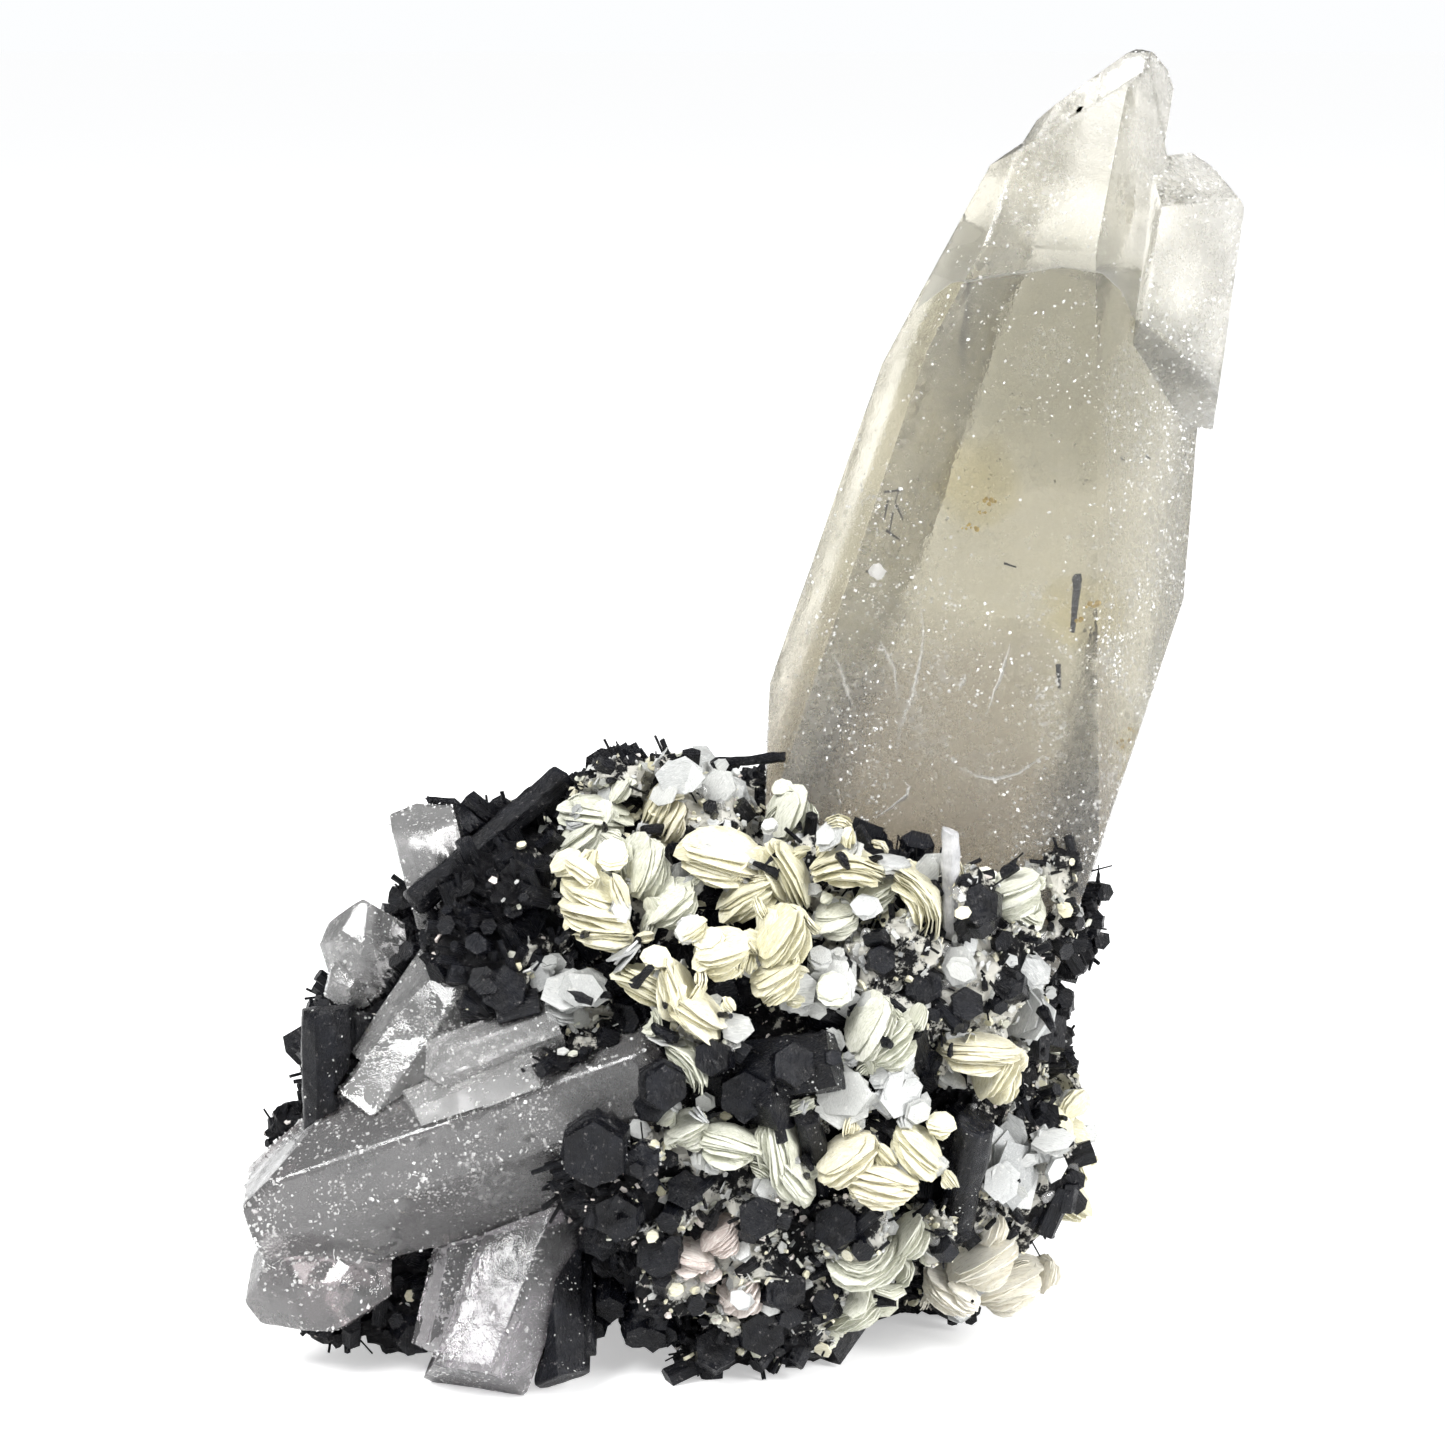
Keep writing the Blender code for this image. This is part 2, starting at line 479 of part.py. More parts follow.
# Black lumps and stubs that show from the front: foot, tip, radius
FRONT_STUBS = [
    ((-7.3, -13.0, 19.0), (-7.4, -20.4, 20.4), 1.3),
    ((8.6, -9.0, 33.6), (9.4, -14.6, 34.4), 1.9),
    ((15.4, -8.0, 32.0), (16.8, -13.4, 31.4), 2.0),
    ((19.6, -5.0, 34.0), (21.4, -10.4, 33.6), 1.9),
    ((24.2, -3.4, 37.0), (24.9, -5.6, 40.8), 1.3),
    ((24.6, 0.0, 33.4), (25.4, -2.4, 37.4), 1.2),
    ((-5.0, -13.0, 28.6), (-1.8, -19.6, 28.4), 1.6),
    ((14.0, -9.0, 37.6), (17.8, -13.8, 38.8), 2.0),
    ((8.4, -11.0, 15.0), (7.6, -16.4, 13.4), 2.9),
    ((1.6, -13.0, 16.6), (0.8, -18.6, 15.8), 2.2),
    ((-2.0, -6.0, 6.0), (-2.2, -11.0, 1.0), 2.6),
    ((3.4, -4.0, 6.0), (3.8, -8.6, 0.6), 2.9),
    ((22.2, 0.0, 34.6), (23.4, -4.8, 34.2), 1.7),
    ((21.4, 0.4, 27.4), (24.4, -3.6, 27.8), 1.4),
    ((12.0, -9.0, 34.6), (13.0, -14.6, 35.4), 2.4),
    ((-16.0, -8.0, 38.0), (-17.6, -12.8, 39.6), 1.8),
    ((-20.0, -7.0, 34.0), (-21.6, -12.6, 34.8), 2.0),
    ((-18.0, -9.0, 31.0), (-18.6, -13.8, 31.4), 2.4),
    ((-9.0, -12.0, 16.4), (-9.2, -18.4, 15.4), 2.5),
    ((-5.2, -11.0, 9.6), (-5.6, -16.4, 8.4), 2.6),
    ((4.6, -9.0, 10.0), (4.8, -14.8, 8.6), 2.3),
    ((14.6, -9.0, 12.0), (14.2, -15.0, 12.4), 2.0),
    ((-31.0, -5.0, 5.6), (-33.0, -9.0, 3.4), 2.4),
    ((-25.4, -4.0, 5.6), (-27.2, -9.0, 2.6), 2.4),
    ((-4.4, -2.0, 44.0), (-5.2, -5.0, 47.6), 1.5),
    ((-8.2, 0.0, 42.0), (-9.0, -1.6, 46.4), 1.8),
]


def small_prisms():
    """Small black crystals scattered over the mass, pointing outward."""
    chance = random.Random(SURFACE_SEED)
    prisms = []
    while len(prisms) < SMALL_PRISM_COUNT:
        centre, radii = chance.choice(MASS_LUMPS)
        out = Vector([chance.gauss(0.0, 1.0) for _ in range(3)]).normalized()
        start = Vector(centre) + Vector([out[i] * radii[i] * 0.94 for i in range(3)])
        if start.z < 3.0 or inside_mass(start, centre):
            continue
        tilt = Vector([chance.uniform(-0.75, 0.75) for _ in range(3)])
        axis = (out + tilt).normalized()
        radius = chance.uniform(*SMALL_PRISM_RADIUS)
        reach = chance.uniform(*SMALL_PRISM_REACH)
        lean = chance.uniform(-25.0, 25.0)
        foot = start - axis * (2.5 + radius)
        prisms.append(prism(foot, start + axis * reach, radius, roll=chance.uniform(0.0, 60.0), lean=lean))
    return prisms


def inside_mass(point, own_centre):
    """True where a point lies inside another lump of the mass."""
    for centre, radii in MASS_LUMPS:
        if centre == own_centre:
            continue
        if sum(((point[i] - centre[i]) / radii[i]) ** 2 for i in range(3)) < 0.92:
            return True
    return False


def schorl_mass():
    """The black mass that carries everything."""
    cells = [
        lump(centre, radii, seed=100 + step, facets=MASS_FACETS)
        for step, (centre, radii) in enumerate(MASS_LUMPS)
    ]
    for step, (foot, tip, radius) in enumerate(FRONT_STUBS):
        cells.append(prism(foot, tip, radius, roll=17.0 * step, lean=(step % 5) * 9.0 - 18.0))
    return cells + small_prisms()


# Joining, cutting and finishing

def to_object(name, shape, collection):
    """An object in millimetres, from a bmesh."""
    mesh = bpy.data.meshes.new(name)
    shape.to_mesh(mesh)
    shape.free()
    obj = bpy.data.objects.new(name, mesh)
    collection.objects.link(obj)
    return obj


def combine(target, others, operation):
    """Join or subtract other objects, then keep the result as the mesh.

    The exact solver leaves open edges where many of these crystals cross, so
    the manifold solver does it. Every operand is a closed mesh.
    """
    if not others:
        return
    operands = bpy.data.collections.new("operands")
    for other in others:
        operands.objects.link(other)
    step = target.modifiers.new("combine", "BOOLEAN")
    step.operation = operation
    step.solver = "MANIFOLD"
    step.operand_type = "COLLECTION"
    step.collection = operands
    evaluated = target.evaluated_get(bpy.context.evaluated_depsgraph_get())
    mesh = bpy.data.meshes.new_from_object(evaluated)
    target.modifiers.clear()
    shape = bmesh.new()
    shape.from_mesh(mesh)
    clean(shape)
    shape.to_mesh(mesh)
    shape.free()
    target.data = mesh
    bpy.data.collections.remove(operands)


def is_closed(shape):
    """True where every edge has a face on both sides."""
    return all(len(edge.link_faces) == 2 for edge in shape.edges)


def clean(shape):
    """Merge points closer than the eye can tell, and make plain triangles."""
    bmesh.ops.remove_doubles(shape, verts=shape.verts[:], dist=MERGE)
    bmesh.ops.dissolve_degenerate(shape, edges=shape.edges[:], dist=MERGE)
    bmesh.ops.triangulate(shape, faces=shape.faces[:])
    drop_wires(shape)


def flatten(shape):
    """Join triangles that lie in one plane, or return False if that opens the shape."""
    bmesh.ops.dissolve_limit(
        shape,
        angle_limit=math.radians(FLAT_ANGLE),
        verts=shape.verts[:],
        edges=shape.edges[:],
    )
    bmesh.ops.triangulate(shape, faces=shape.faces[:])
    drop_wires(shape)
    return is_closed(shape)


def drop_wires(shape):
    """Delete edges and points that no face uses."""
    wires = [edge for edge in shape.edges if not edge.link_faces]
    bmesh.ops.delete(shape, geom=wires, context="EDGES")
    spare = [vert for vert in shape.verts if not vert.link_faces]
    bmesh.ops.delete(shape, geom=spare, context="VERTS")


def union(name, shapes):
    """One closed object from overlapping closed shapes."""
    scene = bpy.context.scene.collection
    objects = [to_object(name, shape, scene) for shape in shapes]
    combine(objects[0], objects[1:], "UNION")
    for other in objects[1:]:
        bpy.data.objects.remove(other)
    return objects[0]


def solid_from(name, crystals):
    """One closed object from crystals, each a list of convex cells."""
    return union(name, [cut_crystal(planes) for cells in crystals for planes in cells])


def room_for(name, crystals):
    """The space that crystals need, with the gap around them."""
    return union(name + "_room", [wrap(cells) for cells in crystals])


def wrap(cells):
    """A closed hull around one crystal's cells, wider by the gap."""
    hull = bmesh.new()
    for planes in cells:
        cell = cut_crystal(planes, GAP)
        for vert in cell.verts:
            hull.verts.new(vert.co)
        cell.free()
    if len(cells) == 1:
        hull.free()
        return cut_crystal(cells[0], GAP)
    made = bmesh.ops.convex_hull(hull, input=hull.verts[:])
    inner = [item for item in made["geom_interior"] if isinstance(item, bmesh.types.BMVert)]
    bmesh.ops.delete(hull, geom=inner, context="VERTS")
    bmesh.ops.recalc_face_normals(hull, faces=hull.faces[:])
    return hull


def box_of(obj):
    """Lowest and highest corner of an object's mesh."""
    low = Vector([min(v.co[i] for v in obj.data.vertices) for i in range(3)])
    high = Vector([max(v.co[i] for v in obj.data.vertices) for i in range(3)])
    return low, high


def near(first, second):
    """True where two objects' boxes meet."""
    low_a, high_a = box_of(first)
    low_b, high_b = box_of(second)
    return all(low_a[i] <= high_b[i] and low_b[i] <= high_a[i] for i in range(3))


def keep_largest(obj):
    """Drop every loose piece but the one with the most volume."""
    shape = bmesh.new()
    shape.from_mesh(obj.data)
    left = set(shape.verts)
    pieces = []
    while left:
        stack = [left.pop()]
        piece = set(stack)
        while stack:
            for edge in stack.pop().link_edges:
                for vert in edge.verts:
                    if vert in left:
                        left.discard(vert)
                        piece.add(vert)
                        stack.append(vert)
        pieces.append(piece)
    volumes = []
    for piece in pieces:
        faces = {face for vert in piece for face in vert.link_faces}
        total = 0.0
        for face in faces:
            corners = [vert.co for vert in face.verts]
            for step in range(1, len(corners) - 1):
                total += corners[0].dot(corners[step].cross(corners[step + 1])) / 6.0
        volumes.append(total)
    best = pieces[volumes.index(max(volumes))]
    spare = [vert for piece in pieces if piece is not best for vert in piece]
    bmesh.ops.delete(shape, geom=spare, context="VERTS")
    flat = shape.copy()
    kept = flat if flatten(flat) else shape
    bmesh.ops.recalc_face_normals(kept, faces=kept.faces[:])
    kept.to_mesh(obj.data)
    flat.free()
    shape.free()


def thin_out(obj, share):
    """Collapse the least needed edges until this share of the triangles is left."""
    step = obj.modifiers.new("thin_out", "DECIMATE")
    step.ratio = share
    evaluated = obj.evaluated_get(bpy.context.evaluated_depsgraph_get())
    mesh = bpy.data.meshes.new_from_object(evaluated)
    obj.modifiers.clear()
    obj.data = mesh


def ground_slab():
    """The space below the surface that the specimen stands on."""
    shape = bmesh.new()
    bmesh.ops.create_cube(shape, size=2.0 * GROUND_BLOCK)
    bmesh.ops.translate(shape, verts=shape.verts[:], vec=(0.0, 0.0, -GROUND_BLOCK))
    slab = to_object("ground_cut", shape, bpy.context.scene.collection)
    slab.hide_render = True
    slab.display_type = "WIRE"
    return slab


def material(name, colour, roughness):
    """A plain surface for one mineral."""
    surface = bpy.data.materials.new(name)
    surface.use_nodes = True
    shader = surface.node_tree.nodes["Principled BSDF"]
    shader.inputs["Base Color"].default_value = colour
    shader.inputs["Roughness"].default_value = roughness
    shader.inputs["Metallic"].default_value = 0.0
    return surface


def specimen_pieces():
    """Every piece as (name, crystals, mineral), the strongest first.

    A crystal is a list of convex cells, and a piece is crystals grown together.
    """
    pieces = [
        ("smoky_quartz_main", [[cell] for cell in smoky_quartz_main()], SMOKY),
        ("smoky_quartz_lying", [[cell] for cell in smoky_quartz_lying()], SMOKY),
    ]
    for name, prisms in clear_crystals().items():
        pieces.append((name, [[cell] for cell in prisms], CLEAR))
    for name, prisms in schorl_crystals().items():
        pieces.append((name, [[cell] for cell in prisms], SCHORL))
    for name, books in mica_books().items():
        pieces.append((name, books, MICA))
    pieces.append(("schorl_mass", [[cell] for cell in schorl_mass()], SCHORL))
    return pieces


def finish(obj, holder):
    """Put the origin in the middle of the piece and go from millimetres to metres."""
    low, high = box_of(obj)
    middle = (low + high) / 2.0
    obj.data.transform(Matrix.Scale(MM, 4) @ Matrix.Translation(-middle))
    obj.location = middle * MM
    obj.parent = holder


def main():
    for old in list(bpy.data.objects):
        bpy.data.objects.remove(old)
    surfaces = {kind[0]: material(*kind) for kind in (SMOKY, CLEAR, SCHORL, MICA)}
    slab = ground_slab()
    built = []
    cutters = []
    for name, crystals, kind in specimen_pieces():
        obj = solid_from(name, crystals)
        obj.name = name
        combine(obj, [cutter for cutter in cutters if near(obj, cutter)], "DIFFERENCE")
        keep_largest(obj)
        if name == "schorl_mass":
            thin_out(obj, MASS_DETAIL)
        if box_of(obj)[0].z < 0.0:
            combine(obj, [slab], "DIFFERENCE")
            keep_largest(obj)
        obj.data.materials.clear()
        obj.data.materials.append(surfaces[kind[0]])
        built.append(obj)
        if name != "schorl_mass":
            cutters.append(room_for(name, crystals))
    for cutter in cutters:
        bpy.data.objects.remove(cutter)
    boxes = [box_of(obj) for obj in built]
    low = Vector([min(box[0][i] for box in boxes) for i in range(3)])
    high = Vector([max(box[1][i] for box in boxes) for i in range(3)])
    holder = bpy.data.objects.new("specimen", None)
    bpy.context.scene.collection.objects.link(holder)
    holder.location = Vector((-(low.x + high.x) / 2.0, -(low.y + high.y) / 2.0, -low.z)) * MM
    for obj in built:
        finish(obj, holder)


main()
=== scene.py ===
"""Schorl on smoky quartz: the finished look of the specimen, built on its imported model."""

import math
import random

import bmesh
import bpy
from mathutils import Matrix, Vector, noise
from mathutils.bvhtree import BVHTree

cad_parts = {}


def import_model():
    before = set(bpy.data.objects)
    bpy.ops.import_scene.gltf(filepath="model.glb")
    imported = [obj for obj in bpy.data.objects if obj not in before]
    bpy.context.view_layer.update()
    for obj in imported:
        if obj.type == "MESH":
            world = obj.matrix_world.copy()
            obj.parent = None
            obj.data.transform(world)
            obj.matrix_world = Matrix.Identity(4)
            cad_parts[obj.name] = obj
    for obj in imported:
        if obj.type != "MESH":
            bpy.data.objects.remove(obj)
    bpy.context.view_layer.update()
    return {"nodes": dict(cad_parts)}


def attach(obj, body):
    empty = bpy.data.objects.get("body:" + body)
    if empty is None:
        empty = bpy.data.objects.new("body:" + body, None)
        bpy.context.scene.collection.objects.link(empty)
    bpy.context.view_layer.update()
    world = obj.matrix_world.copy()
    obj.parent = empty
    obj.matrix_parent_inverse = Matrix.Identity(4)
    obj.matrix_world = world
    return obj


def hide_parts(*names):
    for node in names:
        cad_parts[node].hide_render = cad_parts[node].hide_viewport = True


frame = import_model()

MM = 0.001

# Without a seed, noise_vector follows the clock and the crystals lean another way in each run
NOISE_SEED = 11
noise.seed_set(NOISE_SEED)

# The solids were modelled in millimetres and then moved by this much
CAD_SHIFT = Vector((0.03, -1.54, 0.0))


def world(point):
    """A point of the solids' own drawing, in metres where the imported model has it."""
    return (Vector(point) + CAD_SHIFT) * MM


# Node helpers

def new(tree, kind, inputs=None, **settings):
    """Add a node, set its properties, and set or link its inputs."""
    made = tree.nodes.new(kind)
    for key, value in settings.items():
        setattr(made, key, value)
    for key, value in (inputs or {}).items():
        socket = made.inputs[key]
        if isinstance(value, bpy.types.NodeSocket):
            tree.links.new(value, socket)
        else:
            socket.default_value = value
    return made


def num(tree, operation, first, second=0.0, clamp=False):
    """One Math node's result."""
    made = new(tree, "ShaderNodeMath", {0: first, 1: second}, operation=operation, use_clamp=clamp)
    return made.outputs[0]


def vec(tree, operation, first, second=(0.0, 0.0, 0.0)):
    """One Vector Math node's result."""
    made = new(tree, "ShaderNodeVectorMath", {0: first, 1: second}, operation=operation)
    return made.outputs[0]


def noise_of(tree, where, scale, detail=4.0, roughness=0.6):
    """A noise value around 0.5."""
    settings = {"Vector": where, "Scale": scale, "Detail": detail, "Roughness": roughness}
    return new(tree, "ShaderNodeTexNoise", settings).outputs[0]


def ramp(tree, value, stops):
    """A colour ramp from (position, colour) stops; a plain number is a grey."""
    made = new(tree, "ShaderNodeValToRGB", {0: value})
    points = made.color_ramp.elements
    while len(points) < len(stops):
        points.new(1.0)
    for point, (position, colour) in zip(points, stops):
        point.position = position
        point.color = (colour,) * 3 + (1.0,) if isinstance(colour, float) else (*colour, 1.0)
    return made.outputs[0]


def mix(tree, share, first, second, blend="MIX"):
    """Two colours mixed by a share."""
    made = new(tree, "ShaderNodeMix", data_type="RGBA", blend_type=blend)
    for key, value in ((0, share), (6, first), (7, second)):
        if isinstance(value, bpy.types.NodeSocket):
            tree.links.new(value, made.inputs[key])
        else:
            made.inputs[key].default_value = (*value, 1.0) if isinstance(value, tuple) else value
    return made.outputs[2]


def bump(tree, height, strength, distance, below=None):
    """A bump from a height value, on top of another bump."""
    settings = {"Height": height, "Strength": strength, "Distance": distance}
    if below is not None:
        settings["Normal"] = below
    return new(tree, "ShaderNodeBump", settings).outputs[0]


def finish_of(name):
    """A new material with its tree, its shader and the place on the object."""
    material = bpy.data.materials.new(name)
    material.use_nodes = True
    tree = material.node_tree
    shader = tree.nodes["Principled BSDF"]
    place = new(tree, "ShaderNodeTexCoord").outputs["Object"]
    return material, tree, shader, place


def wire(tree, shader, **links):
    """Link or set the shader's sockets, with _ for a space in their names."""
    for key, value in links.items():
        socket = shader.inputs[key.replace("_", " ")]
        if isinstance(value, bpy.types.NodeSocket):
            tree.links.new(value, socket)
        else:
            socket.default_value = value


# Finishes

QUARTZ_IOR = 1.544


def absorb(tree, tint):
    """Plain absorption inside, as red, green, blue and density."""
    inside = new(tree, "ShaderNodeVolumeAbsorption", {"Color": (*tint[:3], 1.0), "Density": tint[3]})
    tree.links.new(inside.outputs[0], tree.nodes["Material Output"].inputs["Volume"])


def quartz_finish(name, tint, density, speck, frost, clear, lean=0.0, placed=False, haze=0.03):
    """Clear or smoky quartz: absorption inside, growth lines and frosting on its faces."""
    material, tree, shader, place = finish_of(name)
    turned = new(tree, "ShaderNodeMapping", {"Vector": place, "Rotation": (0.0, lean, 0.0)}).outputs[0]
    lines = noise_of(tree, vec(tree, "MULTIPLY", turned, (0.25, 0.25, 1.0)), 1100.0, 3.0, 0.6)
    broad = noise_of(tree, place, 110.0, 6.0, 0.68)
    fine = noise_of(tree, place, 1700.0, 6.0, 0.75)
    if placed:
        frosty = new(tree, "ShaderNodeAttribute", attribute_name="frost").outputs["Fac"]
        push = num(tree, "MULTIPLY", num(tree, "SUBTRACT", frosty, 0.42), 0.42)
        broad = num(tree, "ADD", broad, push)
    specks = ramp(tree, fine, [(0.48, 0.0), (0.62, 1.0)])
    patches = ramp(tree, broad, [(0.42, 0.0), (0.68, 1.0)])
    frosted = num(tree, "MULTIPLY", specks, patches)
    colour = mix(tree, frosted, tint, speck)
    soft = num(tree, "MULTIPLY_ADD", patches, frost * 0.5)
    soft.node.inputs[2].default_value = haze
    rough = num(tree, "MULTIPLY_ADD", frosted, frost)
    tree.links.new(soft, rough.node.inputs[2])
    relief = bump(tree, lines, 0.10, 0.00006)
    relief = bump(tree, num(tree, "MULTIPLY", fine, patches), 0.55, 0.00016, relief)
    wire(
        tree,
        shader,
        Base_Color=colour,
        Roughness=rough,
        Normal=relief,
        Transmission_Weight=clear,
        IOR=QUARTZ_IOR,
    )
    absorb(tree, density)
    return material


def cloud_finish(name, density):
    """A darker part inside a crystal: it only absorbs, and bends no light."""
    material, tree, shader, place = finish_of(name)
    wire(tree, shader, Base_Color=(1.0, 1.0, 1.0, 1.0), Roughness=0.0, Transmission_Weight=1.0, IOR=1.0)
    absorb(tree, density)
    return material


def veil_finish(name, colour, clear):
    """Thin healed cracks and dust inside the quartz."""
    material, tree, shader, place = finish_of(name)
    grains = noise_of(tree, place, 1600.0, 4.0, 0.7)
    tone = mix(tree, grains, tuple(part * 0.82 for part in colour), colour)
    wire(tree, shader, Base_Color=tone, Roughness=0.35, Transmission_Weight=clear, IOR=1.08)
    return material


def schorl_finish(name, base, lift, rough, gloss=0.5, matrix=False):
    """Black tourmaline with fine grooves along each crystal, and pale grains where the matrix shows."""
    material, tree, shader, place = finish_of(name)
    lay = new(tree, "ShaderNodeUVMap", uv_map="UVMap").outputs[0]
    grooved = vec(tree, "MULTIPLY", lay, (1.0, 0.06, 1.0))
    grooves = noise_of(tree, grooved, 26.0, 5.0, 0.75)
    blotch = noise_of(tree, place, 420.0, 4.0, 0.6)
    dust = ramp(tree, noise_of(tree, place, 2600.0, 3.0, 0.7), [(0.62, 0.0), (0.76, 1.0)])
    tone = mix(tree, ramp(tree, blotch, [(0.35, 0.0), (0.75, 1.0)]), base, lift)
    tone = mix(tree, num(tree, "MULTIPLY", dust, 0.35), tone, (0.40, 0.38, 0.37))
    if matrix:
        share = new(tree, "ShaderNodeAttribute", attribute_name="pale").outputs["Fac"]
        grainy = num(tree, "MULTIPLY", num(tree, "SUBTRACT", noise_of(tree, place, 900.0, 5.0, 0.7), 0.5), 1.8)
        share = ramp(tree, num(tree, "ADD", share, grainy), [(0.43, 0.0), (0.56, 1.0)])
        tone = mix(tree, share, tone, mix(tree, blotch, (0.50, 0.48, 0.40), (0.88, 0.87, 0.82)))
    roughness = ramp(tree, grooves, [(0.3, rough), (0.7, rough + 0.26)])
    relief = bump(tree, grooves, 0.8, 0.00022)
    relief = bump(tree, noise_of(tree, place, 1800.0, 5.0, 0.7), 0.25, 0.0001, relief)
    wire(tree, shader, Base_Color=tone, Roughness=roughness, Normal=relief, Specular_IOR_Level=gloss)
    return material


def mica_finish(name, pale, deep, stain, pearl=0.35, painted_highlight=(0.93, 0.92, 0.86)):
    """Muscovite: pearly pages with fine edge lines, painted highlights along them, and a little iron stain."""
    material, tree, shader, place = finish_of(name)
    leaf = new(tree, "ShaderNodeAttribute", attribute_name="leaf").outputs["Fac"]
    book = new(tree, "ShaderNodeAttribute", attribute_name="book").outputs["Fac"]
    lay = new(tree, "ShaderNodeAttribute", attribute_name="lay").outputs["Vector"]
    lines = noise_of(tree, vec(tree, "MULTIPLY", lay, (0.5, 3.2, 11.0)), 1.6, 4.0, 0.75)
    tone = mix(tree, leaf, deep, pale)
    tone = mix(tree, num(tree, "MULTIPLY", book, 0.5), tone, stain)
    tone = mix(tree, ramp(tree, lines, [(0.34, 0.5), (0.50, 0.0)]), tone, tuple(part * 0.5 for part in deep))
    # Painted highlight: where the edge lines run high, the colour is lightened towards a highlight colour
    tone = mix(tree, ramp(tree, lines, [(0.52, 0.0), (0.66, 0.75)]), tone, painted_highlight)
    specks = ramp(tree, noise_of(tree, place, 1900.0, 5.0, 0.75), [(0.56, 0.0), (0.68, 1.0)])
    tone = mix(tree, num(tree, "MULTIPLY", specks, 0.45), tone, (0.95, 0.94, 0.90))
    rough = ramp(tree, noise_of(tree, place, 700.0, 3.0, 0.6), [(0.35, 0.26), (0.7, 0.58)])
    relief = bump(tree, lines, 0.7, 0.00014)
    relief = bump(tree, noise_of(tree, place, 2400.0, 4.0, 0.7), 0.35, 0.00009, relief)
    wire(tree, shader, Base_Color=tone, Roughness=rough, Normal=relief, Coat_Weight=pearl, Coat_Roughness=0.18)
    return material


SMOKY = quartz_finish(
    "smoky_quartz_faces", (0.96, 0.95, 0.93), (0.70, 0.675, 0.56, 60.0),
    (1.0, 1.0, 0.99), 0.42, 0.95, lean=math.radians(-13.6), placed=True, haze=0.045,
)
GREY = quartz_finish(
    "grey_quartz_faces", (0.94, 0.93, 0.93), (0.60, 0.575, 0.575, 75.0),
    (0.97, 0.97, 0.98), 0.45, 0.90, lean=math.radians(69.0),
)
CLEAR = quartz_finish(
    "clear_quartz_faces", (0.96, 0.96, 0.95), (0.75, 0.73, 0.74, 130.0),
    (1.0, 1.0, 0.99), 0.45, 0.86,
)
SHORT_GREY = quartz_finish(
    "block_quartz_faces", (0.92, 0.91, 0.92), (0.66, 0.64, 0.65, 130.0),
    (0.93, 0.93, 0.94), 0.22, 0.92,
)
CORE = cloud_finish("smoky_core", (0.59, 0.56, 0.44, 84.0))
FOOT_CORE = cloud_finish("brown_core", (0.57, 0.52, 0.50, 105.0))
SHOULDER = cloud_finish("olive_cloud", (0.60, 0.60, 0.52, 45.0))
BLOCK_CORE = cloud_finish("grey_core", (0.60, 0.57, 0.60, 190.0))
BROWN_END = cloud_finish("brown_end", (0.50, 0.40, 0.42, 170.0))
STAIN = cloud_finish("yellow_cloud", (0.86, 0.78, 0.42, 130.0))
VEIL = veil_finish("quartz_veils", (0.98, 0.98, 0.96), 0.75)
FLECK = veil_finish("quartz_flecks", (0.98, 0.98, 0.97), 0.10)
AMBER = veil_finish("amber_stain", (0.62, 0.46, 0.12), 0.55)
BLACK = schorl_finish("schorl_faces", (0.002, 0.002, 0.003), (0.008, 0.009, 0.013), 0.12, 0.26)
# Painted sheen: black schorl given a pale grey colour and paler blotches to stand in for light along its
# striated faces
SCHORL_PAINTED_SHEEN = schorl_finish("schorl_silver_faces", (0.26, 0.26, 0.27), (0.72, 0.72, 0.72), 0.16)
BLACK_GRAINS = schorl_finish(
    "schorl_grains", (0.002, 0.002, 0.003), (0.011, 0.011, 0.013), 0.18, 0.28, matrix=True,
)
YELLOW = mica_finish("muscovite_yellow", (0.87, 0.84, 0.63), (0.69, 0.65, 0.43), (0.89, 0.83, 0.66))
GREEN = mica_finish("muscovite_green", (0.77, 0.78, 0.66), (0.55, 0.56, 0.44), (0.82, 0.82, 0.72))
# Paler mica for books that face down into shade: cream mica lightened with painted light
CREAM_PAINTED_LIGHT = mica_finish("muscovite_cream_painted_light", (0.95, 0.92, 0.80), (0.88, 0.83, 0.69), (0.97, 0.94, 0.86))
# The last colour is the painted highlight along the edge lines of the white mica
WHITE = mica_finish(
    "muscovite_white", (0.66, 0.67, 0.66), (0.36, 0.37, 0.37), (0.60, 0.60, 0.55), 0.3, (0.70, 0.71, 0.69),
)
PINK = mica_finish("muscovite_pink", (0.85, 0.77, 0.72), (0.60, 0.50, 0.46), (0.88, 0.85, 0.80))


# Piece helpers

MERGE_REACH = 2e-6
FLAT_ANGLE = math.radians(2.0)
BEVEL_ANGLE = 0.14
EDGE_ANGLE = 0.3


def put(name, data):
    """A new object in the scene."""
    obj = bpy.data.objects.new(name, data)
    bpy.context.scene.collection.objects.link(obj)
    return obj


def plain(obj):
    """The mesh of an object with its modifiers applied. The object goes."""
    mesh = bpy.data.meshes.new_from_object(obj.evaluated_get(bpy.context.evaluated_depsgraph_get()))
    bpy.data.objects.remove(obj)
    return mesh


def mesh_of(shape, name):
    """A plain mesh from a bmesh, which is freed."""
    mesh = bpy.data.meshes.new(name)
    shape.to_mesh(mesh)
    shape.free()
    return mesh


def piece(name, mesh, material, slot, replaced=()):
    """Finish one piece: link it, give it its finish, hang it under the root and hide the solids it replaces. The
    slot is not used.
    """
    mesh.name = name
    obj = put(name, mesh)
    if material is not None:
        mesh.materials.clear()
        mesh.materials.append(material)
    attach(obj, "root")
    if replaced:
        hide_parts(*replaced)
    return obj


